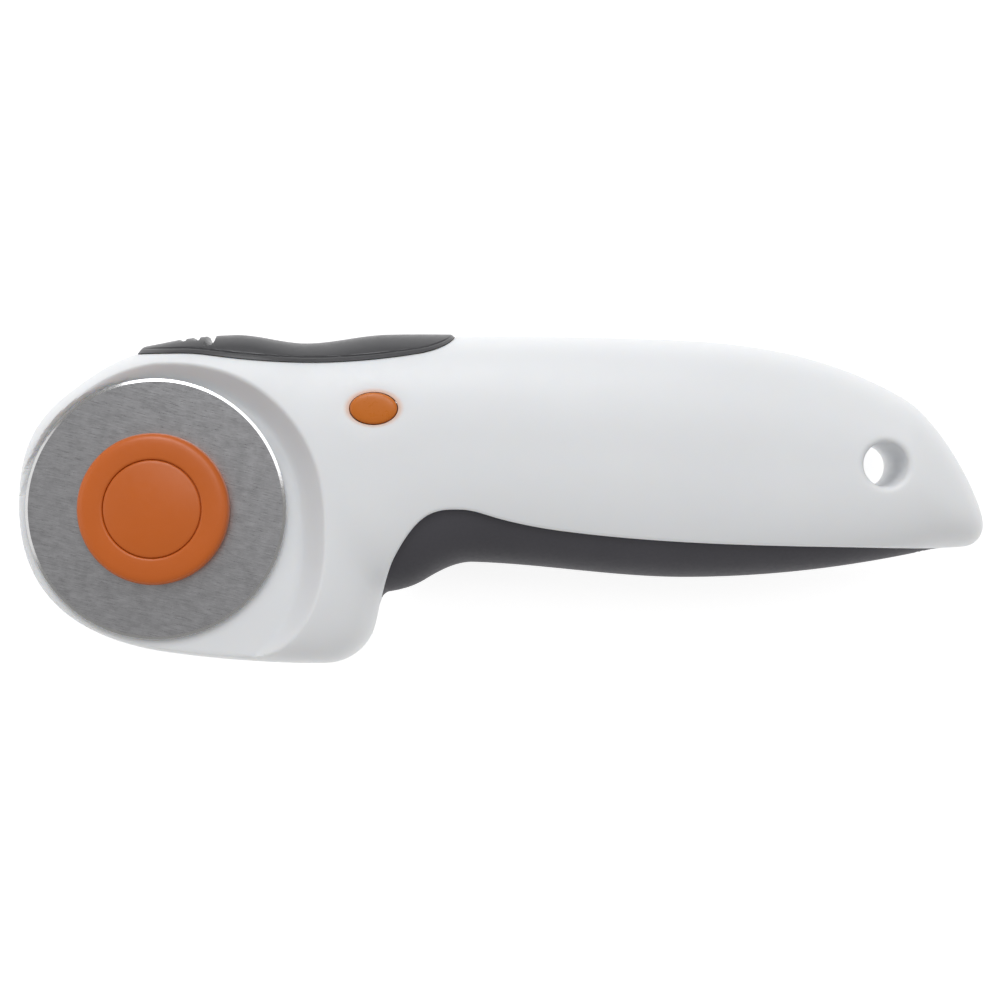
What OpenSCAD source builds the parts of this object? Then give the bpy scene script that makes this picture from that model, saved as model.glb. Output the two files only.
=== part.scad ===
// Rotary cutter with a retracting 45 mm blade, lying on its back with the blade side up.
// +X runs along the handle to its tail, +Y to the thumb slider, +Z out of the blade side.
// z = 0 is the flat back of the handle.

/* [Body] */
// Overall length, head to tail
body_l = 168.5; // [160:0.5:205]
// Overall width, heel to slider
body_w = 57.6; // [57.6:0.2:70]
// Thickness of the handle, back to crown
body_t = 24; // [24:0.2:30]
// Thickness of the moulded walls
wall = 2; // [1.6:0.1:2.4]
// Power of the rounded section, where more is squarer
section_power = 2.6; // [2.2:0.1:3]
// How far the head's back is stepped up from the handle's back
head_step = 6; // [4:0.5:6]
// How far the tail's crown is lower than the handle's
tail_drop = 1.5; // [0:0.1:3]
// Depth of the blade recess below the crown
recess_depth = 5.5; // [5:0.1:6.5]
// Radius of the hang hole
hang_r = 3.8; // [3:0.1:4.5]
// How far the hang hole's axis is from the tail
hang_from_tail = 18.55; // [16:0.1:24]

/* [Soft grip] */
// How far the grip lies below the shell's surface, front and back
grip_step = 1.5; // [1:0.1:2.5]

/* [Blade] */
// Diameter of the blade
blade_d = 45; // [36:0.5:45]
// Thickness of the blade
blade_t = 0.3; // [0.3:0.1:0.5]
// Diameter of the blade's centre hole
blade_bore = 8; // [7:0.1:9]
// Width of the ground edge, measured in from the rim
bevel_w = 0.6; // [0.4:0.1:1.2]
// Body left of the blade, past its rim
head_margin = 2; // [1.5:0.1:3]
// How far the blade comes out of the head along its slide
carrier_travel = 7; // [5:0.1:7]

/* [Hub] */
// Diameter of the orange ring over the blade
cap_d = 26; // [24:0.5:28]
// Diameter of the release button
button_d = 16.7; // [14:0.1:17]
// Travel of the release button
button_travel = 1.2; // [0.8:0.1:1.2]
// Diameter of the hub post above the carrier
post_d = 5; // [4.4:0.1:5.2]
// Radial clearance of turning and sliding fits
run_gap = 0.05; // [0.03:0.01:0.1]

/* [Slider] */
// Travel of the thumb slider along its track
slider_travel = 8; // [6:0.1:8]
// Radius of the track under the slider
track_r = 113; // [110:0.5:118]
// Gap between slider and body
slider_gap = 0.2; // [0.15:0.05:0.4]
// How far the slider stands above the body's top line
slider_proud = 0.6; // [0.4:0.1:1]
// Diameter of the drive pin in the cam slot
pin_d = 3; // [2.5:0.1:3.5]

/* [Lock] */
// Length of the oval lock button
lock_l = 8.1; // [6.5:0.1:9.5]
// Width of the oval lock button
lock_w = 5.4; // [4.5:0.1:6.5]
// Travel of the cross-bolt lock
lock_travel = 2; // [1.5:0.1:2]

/* [Screws] */
// Shank diameter of the screws
screw_d = 2.6; // [2.2:0.1:3]
// Head diameter of the screws
screw_head_d = 5; // [4.4:0.1:5.4]
// Height of the screw heads
screw_head_h = 1.6; // [1.2:0.1:2]
// Outside diameter of the steel guide sleeves
sleeve_d = 4.6; // [4.2:0.1:5]

/* [Hidden] */

// Colours
WHITE = [0.93, 0.93, 0.92];
ORANGE = [0.82, 0.40, 0.13];
DARK = [0.28, 0.28, 0.29];
RUBBER = [0.23, 0.23, 0.24];
STEEL = [0.66, 0.67, 0.69];
NATURAL = [0.80, 0.80, 0.76];

eps = 0.01;

// Heights, all hung from the back plane and the crown
part_z = body_t / 2;
floor_z = body_t - recess_depth;
plate_z = floor_z - wall;
carrier_gap = 0.5;
carrier_t = 3;
carrier_top = plate_z - carrier_gap;
carrier_z = carrier_top - carrier_t;
foot_t = 3;
foot_z = carrier_z - carrier_gap - foot_t;
back_z = head_step;
// The back half is drawn a little too deep and cut flat at z = 0
back_extra = 0.8;

// Blade axis and the ends of the body
head_x = -body_l / 2;
tail_x = body_l / 2;
blade_r = blade_d / 2;
bx = head_x + head_margin + blade_r;
by = -1.85;
top_y = body_w / 2 - slider_proud;
low_y = -body_w / 2;
slide_dir = [-0.5, -sqrt(3) / 2];

// Heel and neck, placed from the blade's rim
heel_x = bx + blade_r + 6.85;
grip_x = heel_x + 9.9;
grip_end_x = tail_x - 9.25;

function step(t) = let (c = min(max(t, 0), 1)) c * c * (3 - 2 * c);
function unit(v) = v / norm(v);
function dir(a) = [cos(a), sin(a)];

// A smooth curve through knots [x, y, slope], as a height over x
function knot_y(k, x, i = 0) =
    (i < len(k) - 2 && x > k[i + 1][0]) ? knot_y(k, x, i + 1) :
    let (w = k[i + 1][0] - k[i][0], t = (x - k[i][0]) / w)
    (1 - 3 * t * t + 2 * t * t * t) * k[i][1] + (t - 2 * t * t + t * t * t) * w * k[i][2]
    + (3 * t * t - 2 * t * t * t) * k[i + 1][1] + (t * t * t - t * t) * w * k[i + 1][2];

// n points of a cubic curve from [x, y, heading, pull] to another, without its last point
function arc_points(a, b, n) =
    let (p = [a[0], a[1]], s = [b[0], b[1]], q = p + a[3] * dir(a[2]), r = s - b[3] * dir(b[2]))
    [for (i = [0 : n - 1]) let (t = i / n, w = 1 - t)
        w * w * w * p + 3 * w * w * t * q + 3 * w * t * t * r + t * t * t * s];

// ---- Outline of the body and the spine that its section rises to ----
far_y = top_y - 10.4;
top_knots = [[bx + 1.75, top_y - 1.7, 0.17], [bx + 19.75, top_y - 0.5, 0.02],
    [heel_x + 49, top_y, -0.03], [tail_x - 14.25, far_y, -0.58]];
grip_knots = [[grip_x, low_y + 12.3, 0.15], [grip_x + 7, low_y + 14.55, 0.62],
    [grip_x + 15.5, low_y + 17.6, -0.03], [grip_x + 52.5, low_y + 14.95, 0],
    [grip_end_x, low_y + 19.75, 0.22]];
// Line between the white shells and the grip
edge_knots = [[grip_x - 0.3, low_y + 12.4, 3], [grip_x + 1.9, low_y + 18.5, 1.9],
    [grip_x + 6, low_y + 24.5, 1], [grip_x + 13.5, low_y + 26.85, -0.02],
    [grip_x + 20, low_y + 25.3, -0.27], [grip_x + 31, low_y + 23.15, -0.13],
    [grip_x + 80, low_y + 20.35, -0.02], [grip_end_x + 1.5, low_y + 20.05, 0]];
spine_a = [bx + 1.75, by + 1.5];
spine_b = [tail_x - 14.25, far_y - 13.9];
spine_knots = [[spine_a[0], spine_a[1], 0], [heel_x - 5.1, by + 3.4, 0.2],
    [heel_x + 21.9, top_y - 20, 0.12], [heel_x + 49.9, top_y - 20.7, -0.03],
    [spine_b[0], spine_b[1], -0.1]];
// Where the ribs of the body part stand on the spine: [x, number of steps to the next]
rib_stops = [[spine_a[0], 7], [bx + 16.75, 5], [heel_x - 5.1, 2], [heel_x - 1.1, 3],
    [heel_x + 2.9, 6], [heel_x + 21.9, 16], [spine_b[0], 0]];
rib_x = concat([for (i = [0 : len(rib_stops) - 2]) let (a = rib_stops[i], b = rib_stops[i + 1])
    for (j = [0 : a[1] - 1]) a[0] + (b[0] - a[0]) * j / a[1]], [spine_b[0]]);
n_body = len(rib_x) - 1;

head_left = [head_x, by + 0.65, 90, 0];
tail_tip = [tail_x, low_y + 24, -90, 0];
head_top = arc_points([head_x, head_left[1], 90, 12],
        [bx - 11.55, by + 23.35, 34, 9], 6);
head_top_b = arc_points([bx - 11.55, by + 23.35, 34, 6], [bx + 1.75, top_y - 1.7, 9.6, 5], 4);
body_top = [for (x = rib_x) [x, knot_y(top_knots, x)]];
tail_top = arc_points([spine_b[0], far_y, -30.1, 8], [tail_tip[0], tail_tip[1], -90, 4.2], 9);
tail_corner = arc_points([tail_tip[0], tail_tip[1], -90, 2], [tail_x - 2.9, low_y + 20.35, -171, 1.6], 4);
tail_low = arc_points([tail_x - 2.9, low_y + 20.35, -171, 2], [grip_end_x, low_y + 19.75, -167.6, 2], 2);
body_low_x = [for (i = [0 : 16]) grip_end_x + (grip_x + 15.5 - grip_end_x) * i / 16];
body_low = concat(
    [for (i = [0 : 15]) [body_low_x[i], knot_y(grip_knots, body_low_x[i])]],
    [for (i = [0 : 5]) let (x = grip_x + 15.5 - 14.8 * i / 6) [x, knot_y(grip_knots, x)]],
    arc_points([grip_x + 0.7, knot_y(grip_knots, grip_x + 0.7), -170, 0.8],
        [heel_x + 8.9, low_y + 10.5, -103, 0.9], 3),
    arc_points([heel_x + 8.9, low_y + 10.5, -103, 1.5], [heel_x + 7.8, low_y + 5.7, -107, 1.5], 2),
    arc_points([heel_x + 7.8, low_y + 5.7, -107, 2.9], [heel_x, low_y, -178, 4], 5),
    arc_points([heel_x, low_y, -178, 8], [bx + 1.75, low_y + 1.8, 172, 8], 7));
head_low = arc_points([bx + 1.75, low_y + 1.8, 172, 13], [head_x, head_left[1], 90, 15.5], 14);

outline = concat(head_top, head_top_b, [for (i = [0 : n_body - 1]) body_top[i]],
    tail_top, tail_corner, tail_low, body_low, head_low);
n_head = len(head_top) + len(head_top_b);
n_tail = len(tail_top) + len(tail_corner) + len(tail_low);
n_out = len(outline);
// Spine place of rib i: 0 at the head's fan, n_body at the tail's
function spine_at(i) =
    i < n_head ? 0 : i < n_head + n_body ? i - n_head :
    i < n_head + n_body + n_tail ? n_body :
    i < n_head + 2 * n_body + n_tail ? 2 * n_body + n_head + n_tail - i : 0;
function spine_point(j) = [rib_x[j], knot_y(spine_knots, rib_x[j])];

// Rise of the section over the parting plane, front and back
function front_h(x) = body_t - part_z - tail_drop * step((x - heel_x - 60) / 40);
function back_h(x) = part_z + back_extra
    - (head_step + back_extra) * step((heel_x - 4 - x) / 16);

// Rings up the rounded section: share of the way to the spine, and share of the rise
rings = 7;
function ring_u(k) = 1 - pow(cos(90 * k / rings), 2 / section_power);
function ring_f(k) = pow(sin(90 * k / rings), 2 / section_power);
// Outline moved inwards along its ribs by at least gap
function inset_point(i, gap) =
    let (o = outline[i], s = spine_point(spine_at(i)), way = unit(s - o),
        edge = unit(outline[(i + 1) % n_out] - outline[(i + n_out - 1) % n_out]),
        lean = max(abs(edge[0] * way[1] - edge[1] * way[0]), 0.5))
    o + way * gap / lean;

// Half of the rounded body, front (side = 1) or back (side = -1), inset by gap.
// Its base lies skirt behind the parting plane.
module half_body(side, gap, skirt) {
    p = [for (i = [0 : n_out - 1]) inset_point(i, gap)];
    base_z = part_z - side * skirt;
    function rise(j) = (side > 0 ? front_h(rib_x[j]) : back_h(rib_x[j])) - gap;
    function ring_point(i, k) =
        let (j = spine_at(i), s = spine_point(j), q = p[i] + (s - p[i]) * ring_u(k))
        [q[0], q[1], k == 0 ? base_z : part_z + side * rise(j) * ring_f(k)];
    pts = concat(
        [for (k = [0 : rings - 1]) for (i = [0 : n_out - 1]) ring_point(i, k)],
        [for (j = [0 : n_body]) let (s = spine_point(j)) [s[0], s[1], part_z + side * rise(j)]],
        [for (j = [0 : n_body]) let (s = spine_point(j)) [s[0], s[1], base_z]]);
    top_i = rings * n_out;
    base_i = top_i + n_body + 1;
    function at(i, k) = k == rings ? top_i + spine_at(i) : k * n_out + i;
    faces = concat(
        [for (k = [0 : rings - 1]) for (i = [0 : n_out - 1]) let (n = (i + 1) % n_out)
            [at(i, k), at(n, k), at(n, k + 1)]],
        [for (k = [0 : rings - 1]) for (i = [0 : n_out - 1]) let (n = (i + 1) % n_out)
            if (at(i, k + 1) != at(n, k + 1)) [at(i, k), at(n, k + 1), at(i, k + 1)]],
        [for (i = [0 : n_out - 1])
            let (n = (i + 1) % n_out, a = base_i + spine_at(i), b = base_i + spine_at(n))
            a == b ? [n, i, a] : [n, i, a, b]]);
    polyhedron(points = pts,
        faces = side > 0 ? faces : [for (f = faces) [for (q = [len(f) - 1 : -1 : 0]) f[q]]]);
}

// ---- Shared cutting shapes ----
module prism(points, z0, z1) {
    translate([0, 0, z0]) linear_extrude(z1 - z0) polygon(points);
}
module tube(r, z0, z1, at = [0, 0]) {
    translate([at[0], at[1], z0]) cylinder(r = r, h = z1 - z0, $fn = r > 50 ? 1440 : r > 20 ? 256 : 64);
}
// Points of a slot with round ends, from a to b
function slot_points(a, b, r) =
    let (h = atan2(b[1] - a[1], b[0] - a[0]), n = 12)
    concat([for (i = [0 : n]) b + r * dir(h - 90 + 180 * i / n)],
        [for (i = [0 : n]) a + r * dir(h + 90 + 180 * i / n)]);
function oval_points(c, l, w, grow) =
    [for (i = [0 : 47]) let (a = i * 7.5) c + [(l / 2 + grow) * cos(a), (w / 2 + grow) * sin(a)]];

// Area of the soft grip: below the edge line, moved up by gap along its normal
edge_n = 34;
function edge_point(i, gap) =
    let (x = grip_x - 0.3 + (grip_end_x + 1.8 - grip_x) * pow(i / edge_n, 1.6),
        y = knot_y(edge_knots, x), d = knot_y(edge_knots, x + 0.1) - y)
    [x, y] + gap * unit([-d, 0.1]);
function grip_area(gap) = concat([for (i = [0 : edge_n]) edge_point(i, gap)],
    [[grip_end_x + 3 + gap, low_y + 20 - gap], [grip_end_x - 15, low_y], [grip_x + 11, low_y]]);

// Blade recess: two overlapping cones, open at the left and below
recess_a = [bx + 3.1, by - 0.9];
recess_ar = blade_r + 3.8;
recess_b = [bx + 1.1, by - 6.65];
recess_br = blade_r + 6.1;
cove_w = 4;
module recess(grow) {
    for (c = [[recess_a, recess_ar], [recess_b, recess_br]])
        translate([c[0][0], c[0][1], floor_z - grow])
            cylinder(r1 = c[1] - cove_w + grow, r2 = c[1] + grow + 1.2, h = recess_depth + grow + 1.2,
                $fn = 128);
}

// Room over the shell for the blade, from its rest place to the end of its slide
blade_clear = 0.3;
module blade_sweep() {
    a = [bx, by];
    b = a + carrier_travel * slide_dir;
    side = (blade_r + blade_clear) * [slide_dir[1], -slide_dir[0]];
    z0 = blade_z - blade_clear;
    for (c = [a, b]) tube(blade_r + blade_clear, z0, body_t + 5, c);
    prism([a + side, b + side, b - side, a - side], z0, body_t + 5);
}

// Slider track: an arc about the slider's pivot
pivot = [bx + 26.4, top_y + 108.5];
track_low_y = pivot[1] - track_r;
slider_turn = slider_travel / track_r * 180 / PI;
function turned(p, a) =
    let (v = p - pivot)
    pivot + [v[0] * cos(a) - v[1] * sin(a), v[0] * sin(a) + v[1] * cos(a)];
lip_y = track_low_y + 1.65;
lip_x = pivot[0] - sqrt(track_r * track_r - pow(pivot[1] - lip_y, 2));
slider_front_x = bx - 3.55;
slider_rear_x = heel_x + 22.2;
module track_area(gap, r_gap, z0, z1) {
    intersection() {
        tube(track_r - r_gap, z0, z1, pivot);
        prism([[lip_x - 1, lip_y + gap], [lip_x - 1, top_y + 6], [slider_rear_x + 6, top_y + 6],
            [slider_rear_x - gap, top_y + 0.1], [slider_rear_x - 4.3 - gap, track_low_y - 1],
            [lip_x - 1, track_low_y - 1]], z0, z1);
    }
    prism([[slider_front_x - 12, lip_y + gap], [lip_x + eps, lip_y + gap], [lip_x + eps, top_y + 6],
        [slider_front_x - 12, top_y + 6]], z0, z1);
}

// Guide sleeves, hub, cam slot and lock, placed from the blade axis
guides = [[bx + 14.75, by - 12.15], [bx - 6.25, by + 11.85]];
hub_slot_w = 9.8;
nut_d = 9.2;
pin_at = [bx + 25.75, by + 12.85];
lock_at = [heel_x + 8.5, top_y - 12.9];
// Cam slot: the pin's path as the carrier sees it
pin_out = turned(pin_at, -slider_turn) - carrier_travel * slide_dir;
cam_over = 0.3;
cam_a = pin_at - cam_over * unit(pin_out - pin_at);
cam_b = pin_out + cam_over * unit(pin_out - pin_at);
cam_gap = 0.15;

// Slider tab through the saddle floor
tab_l = 12;
tab_x = bx + 22.75;
tab_gap = 0.3;
tab_depth = 0.5;
foot_in_r = track_r + wall + 0.3;
foot_out_r = foot_in_r + 2.4;
foot_screw_x = tab_x + tab_l * 0.75;
foot_screw_head_r = 1.1;
foot_seat_y = pivot[1] - foot_out_r - 0.1;

// Shell screws: places and the boss around each
shell_bosses = [[heel_x + 8.4, by - 0.5], [heel_x + 50.4, by + 8], [tail_x - 34.25, by + 1.5]];
boss_r = 3.6;
screw_hole_r = screw_d / 2 + 0.15;
head_hole_r = screw_head_d / 2 + 0.3;
screw_seat_z = 4.2;
hang_at = [tail_x - hang_from_tail, by + 7.65];
sleeve_z = carrier_z - 0.7;

// Lock bolt
lock_neck_r = 1.7;
lock_collar_r = 3.4;
lock_collar_z = foot_z + foot_t + 0.25;
lock_collar_t = 2.4;
lock_gap = 0.15;
lock_top_z = body_t - 0.4;
lock_rear_z = lock_travel + 0.25;
lock_rear_t = 2.2;
lock_boss_z = lock_collar_z + lock_collar_t + 0.15;
lock_boss_r = 5.6;
lock_head_z = lock_top_z - 3.2;
lock_clip_z = lock_boss_z + 1.2;
// Leaf spring of the slider's clicks, held in a slit post
leaf_y = lock_at[1] - 6.4;
leaf_t = 0.35;
leaf_tip_x = pin_at[0] + 3.5;
leaf_post = [lock_at[0] + 6.2, leaf_y - 2.9];

// Space inside the shells that stays solid: recess walls, saddle floor, grip wall and bosses
module inner_blocks(side) {
    if (side > 0) {
        intersection() {
            recess(wall);
            tube(blade_r + 14, plate_z, body_t + 5, [bx, by]);
        }
    }
    intersection() {
        tube(track_r + wall, -1, body_t + 2, pivot);
        prism([[head_x, track_low_y - 4], [head_x, top_y + 8], [slider_rear_x + 4, top_y + 8],
            [slider_rear_x - 0.5, track_low_y - 4]], -1, body_t + 2);
    }
    prism([[head_x, lip_y - wall], [lip_x + 2, lip_y - wall], [lip_x + 2, top_y + 8], [head_x, top_y + 8]],
        -1, body_t + 2);
    prism(grip_area(wall), -1, body_t + 2);
    tube(hang_r + wall, -1, body_t + 2, hang_at);
    for (b = shell_bosses) tube(boss_r, -1, body_t + 2, b);
    if (side < 0) {
        for (g = guides) tube(boss_r, -1, sleeve_z, g);
        tube(5.4, -1, lock_rear_z + lock_rear_t + 1.6, lock_at);
        tube(2.2, -1, foot_z + foot_t, leaf_post);
    }
    if (side > 0) tube(lock_boss_r, lock_boss_z, body_t, lock_at);
    if (side > 0) for (g = guides) tube(boss_r, carrier_top + 0.1, body_t, g);
}

// The hollow in one half
module cavity(side) {
    difference() {
        half_body(side, wall, 0.8);
        inner_blocks(side);
    }
}

// Cuts that go through both halves
module common_cuts() {
    track_area(0, 0, -2, body_t + 2);
    prism(grip_area(0), -2, body_t + 2);
    tube(hang_r, -2, body_t + 2, hang_at);
    // slit for the slider's tab
    translate([tab_x - slider_travel - 1.2, track_low_y - wall - 3, foot_z - tab_gap])
        cube([tab_l + slider_travel + 2.4, wall + 7, foot_t + 2 * tab_gap]);
    tube(lock_neck_r + 0.3, 0, body_t, lock_at);
}

// One outer half, cut flat at the parting plane, and at z = 0 for the back
module outer_half(side) {
    intersection() {
        half_body(side, 0, 0.05);
        translate([head_x - 5, low_y - 5, side > 0 ? part_z : 0])
            cube([body_l + 10, body_w + 10, side > 0 ? part_z + 5 : part_z]);
    }
}

module front_shell() {
    color(WHITE) difference() {
        outer_half(1);
        cavity(1);
        common_cuts();
        recess(0);
        blade_sweep();
        // slot that the hub slides in, and the guide screws' seats
        prism(slot_points([bx, by] + [0.3, 0.5],
            [bx, by] + (carrier_travel + 0.6) * slide_dir, hub_slot_w / 2),
            plate_z - 1, floor_z + 1);
        for (g = guides) {
            tube(screw_hole_r, plate_z - 2, floor_z + 1, g);
            tube(head_hole_r, floor_z - 1.2, floor_z + 1, g);
        }
        for (b = shell_bosses) tube(screw_hole_r, part_z - 1, body_t - 4, b);
        prism(oval_points(lock_at, lock_l, lock_w, lock_gap), lock_head_z - lock_travel - 0.3, body_t + 1);
        tube(lock_neck_r + 0.75, lock_clip_z - 0.4, lock_clip_z + 0.4, lock_at);
    }
}

module rear_shell() {
    color(WHITE) difference() {
        outer_half(-1);
        cavity(-1);
        common_cuts();
        for (g = guides) tube(screw_hole_r, back_z + 2, sleeve_z + 1, g);
        for (b = shell_bosses) {
            tube(screw_hole_r, 0, part_z + 1, b);
            tube(head_hole_r, -1, screw_seat_z, b);
        }
        prism(oval_points(lock_at, lock_l, lock_w, lock_gap), -1, lock_rear_z + lock_rear_t + 0.2);
        translate([leaf_post[0] - 0.25, leaf_post[1] - 1, foot_z]) cube([leaf_t + 0.2, 5, foot_t + 1]);
    }
}

// Rubber belly, one piece front to back, stepped in from the shells
module soft_grip() {
    squeeze = (part_z - grip_step) / part_z;
    color(RUBBER) intersection() {
        translate([0, 0, part_z]) scale([1, 1, squeeze]) translate([0, 0, -part_z])
            union() {
                half_body(1, 0, 0);
                half_body(-1, 0, 0);
            }
        prism(grip_area(0), -2, body_t + 2);
    }
}

// A pan-head screw along Z: head from z0, shank up to z1
module screw(at, head_z, tip_z) {
    up = tip_z > head_z;
    a = up ? head_z : head_z - screw_head_h;
    difference() {
        union() {
            tube(screw_head_d / 2, a, a + screw_head_h, at);
            if (up) tube(screw_d / 2, a + eps, tip_z, at);
            else tube(screw_d / 2, tip_z, head_z - eps, at);
        }
        // cross recess in the head
        for (turn = [0, 90]) translate([at[0], at[1], up ? a : head_z]) rotate(turn)
            cube([screw_head_d * 0.62, 0.7, screw_head_h * 1.2], center = true);
    }
}

module shell_screws() {
    color(STEEL) for (b = shell_bosses) screw(b, screw_seat_z - screw_head_h, body_t - 5);
}

module guide_screws() {
    head_top = floor_z - 0.1;
    color(STEEL) for (g = guides) difference() {
        union() {
            tube(screw_head_d / 2, head_top - 1.05, head_top, g);
            tube(screw_d / 2, back_z + 2.6, head_top - 0.5, g);
        }
        for (turn = [0, 90]) translate([g[0], g[1], head_top]) rotate(turn + 20)
            cube([screw_head_d * 0.62, 0.7, 1.2], center = true);
    }
}

module guide_sleeves() {
    color(STEEL) for (g = guides) difference() {
        tube(sleeve_d / 2, sleeve_z + 0.02, carrier_top + 0.08, g);
        tube(screw_d / 2 + 0.1, sleeve_z - 1, carrier_top + 1, g);
    }
}

// Leaf spring under the slider foot's tongue, its leg held in the slit post
module detent_spring() {
    x = leaf_tip_x;
    y = leaf_y;
    low = leaf_y - 3.7;
    leg_x = leaf_post[0] - 0.15;
    color(STEEL) prism([[x, y + 0.2], [x + 2.2, y + 1.1], [x + 4.6, y], [leg_x, y], [leg_x, low],
        [leg_x + leaf_t, low], [leg_x + leaf_t, y + leaf_t], [x + 4.7, y + leaf_t],
        [x + 2.2, y + 1.1 + leaf_t], [x, y + 0.2 + leaf_t]], foot_z + 0.1, foot_z + foot_t - 0.1);
}

// Round wire ring in the front shell that presses on the lock bolt's neck
module lock_spring() {
    color(STEEL) translate([lock_at[0], lock_at[1], lock_clip_z]) difference() {
        rotate_extrude($fn = 48) translate([lock_neck_r + 0.4, 0]) circle(r = 0.25, $fn = 16);
        rotate(-90) translate([0, -1, -1]) cube([4, 2, 2]);
    }
}

// ---- Slider ----
// Silhouette along the top, with its three grip notches cut by cylinders
slider_top_knots = [[slider_front_x, lip_y + 1, 0.3], [slider_front_x + 4.4, top_y - 0.95, 0.22],
    [slider_front_x + 16.5, top_y + 0.4, 0.03], [slider_front_x + 29, top_y - 1, 0.01],
    [slider_front_x + 43, top_y + 0.55, 0.03], [slider_rear_x + 1, top_y + 0.6, 0]];
slider_n = 40;
notches = [[7.6, 0.55], [10.1, 0.6], [12.8, 0.65]];
module slider_cap() {
    lift = slider_proud + 0.3;
    function cap_x(i) = slider_front_x + (slider_rear_x + 0.5 - slider_front_x) * i / slider_n;
    color(DARK) union() {
        difference() {
            intersection() {
                translate([0, lift, 0]) union() {
                    half_body(1, 0, 0);
                    half_body(-1, 0, 0);
                }
                track_area(slider_gap, slider_gap, -2, body_t + 2);
                prism(concat([for (i = [0 : slider_n]) [cap_x(i), knot_y(slider_top_knots, cap_x(i))]],
                    [[slider_rear_x - 0.2, top_y - 0.3], [slider_rear_x - 4.8, track_low_y - 2],
                    [slider_front_x, track_low_y - 2]]), 0.5, body_t + 2);
            }
            for (n = notches) let (x = slider_front_x + n[0])
                translate([x, knot_y(slider_top_knots, x) + 0.35, -2])
                    cylinder(r = 0.9, h = body_t + 4, $fn = 24);
            // screw hole from below, in the tab
            translate([foot_screw_x, track_low_y - wall - 2, foot_z + foot_t / 2]) rotate([-90, 0, 0])
                cylinder(r = 0.7, h = wall + 3.5, $fn = 32);
        }
        difference() {
            translate([tab_x, track_low_y - wall - tab_depth, foot_z])
                cube([tab_l, wall + tab_depth + 1.4, foot_t]);
            translate([foot_screw_x, track_low_y - wall - 2, foot_z + foot_t / 2]) rotate([-90, 0, 0])
                cylinder(r = 0.7, h = wall + 5, $fn = 32);
        }
    }
}

// Arc plate under the saddle floor, with an arm to the cam slot and a tongue to the lock
foot_x0 = tab_x - 1;
foot_x1 = tab_x + tab_l + 1;
module slider_foot() {
    bolt_run = turned(lock_at, slider_turn);
    color(NATURAL) difference() {
        union() {
            intersection() {
                difference() {
                    tube(foot_out_r, foot_z, foot_z + foot_t, pivot);
                    tube(foot_in_r, foot_z - 1, foot_z + foot_t + 1, pivot);
                }
                prism([[foot_x0, track_low_y - 8], [foot_x1, track_low_y - 8],
                    [foot_x1, top_y], [foot_x0, top_y]],
                    foot_z, foot_z + foot_t);
            }
            // arm down to the drive pin
            prism([[pin_at[0] - 3, pin_at[1] - 3], [pin_at[0] + 3, pin_at[1] - 3],
                [pin_at[0] + 4, track_low_y - wall - 1.6], [pin_at[0] - 4, track_low_y - wall - 1.6]],
                foot_z, foot_z + foot_t);
            // tongue to the lock bolt
            prism([[pin_at[0] + 2, lock_at[1] - 4.2], [lock_at[0] + 5.5, lock_at[1] - 4.2],
                [lock_at[0] + 5.5, lock_at[1] + 4.2], [foot_x1 - 1, lock_at[1] + 4.4],
                [foot_x1 - 1, track_low_y - wall - 1.2], [pin_at[0] + 2, track_low_y - wall - 1.6]],
                foot_z, foot_z + foot_t);
        }
        // seat of the slider's tab
        translate([tab_x - 0.05, track_low_y - wall - tab_depth, foot_z - 1])
            cube([tab_l + 0.1, 6, foot_t + 2]);
        prism(slot_points(lock_at, bolt_run + [0.4, 0], lock_neck_r + 0.35), foot_z - 1, foot_z + foot_t + 1);
        tube(lock_collar_r + 0.2, foot_z + foot_t - lock_travel - 0.2, foot_z + foot_t + 1, lock_at);
        tube(pin_d / 2, foot_z - 1, foot_z + foot_t + 1, pin_at);
        translate([foot_screw_x, track_low_y - wall - 6, foot_z + foot_t / 2]) rotate([-90, 0, 0])
            cylinder(r = 0.85, h = 8, $fn = 32);
        // channel that the screw goes in by, open towards the blade side
        translate([foot_screw_x - foot_screw_head_r - 0.2, lock_at[1] - 5, foot_z + 0.3])
            cube([2 * foot_screw_head_r + 0.4, foot_seat_y - lock_at[1] + 5.05, foot_t]);
    }
}

module slider_screw() {
    z = foot_z + foot_t / 2;
    color(STEEL) translate([foot_screw_x, foot_seat_y, z]) rotate([-90, 0, 0]) difference() {
        union() {
            translate([0, 0, -0.9]) cylinder(r = foot_screw_head_r, h = 0.9, $fn = 32);
            translate([0, 0, -0.2]) cylinder(r = 0.65, h = wall + 3.8, $fn = 32);
        }
        translate([0, 0, -1]) cube([1.6, 0.4, 0.9], center = true);
    }
}

module drive_pin() {
    color(STEEL) tube(pin_d / 2, foot_z, carrier_top - 0.2, pin_at);
}

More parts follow.
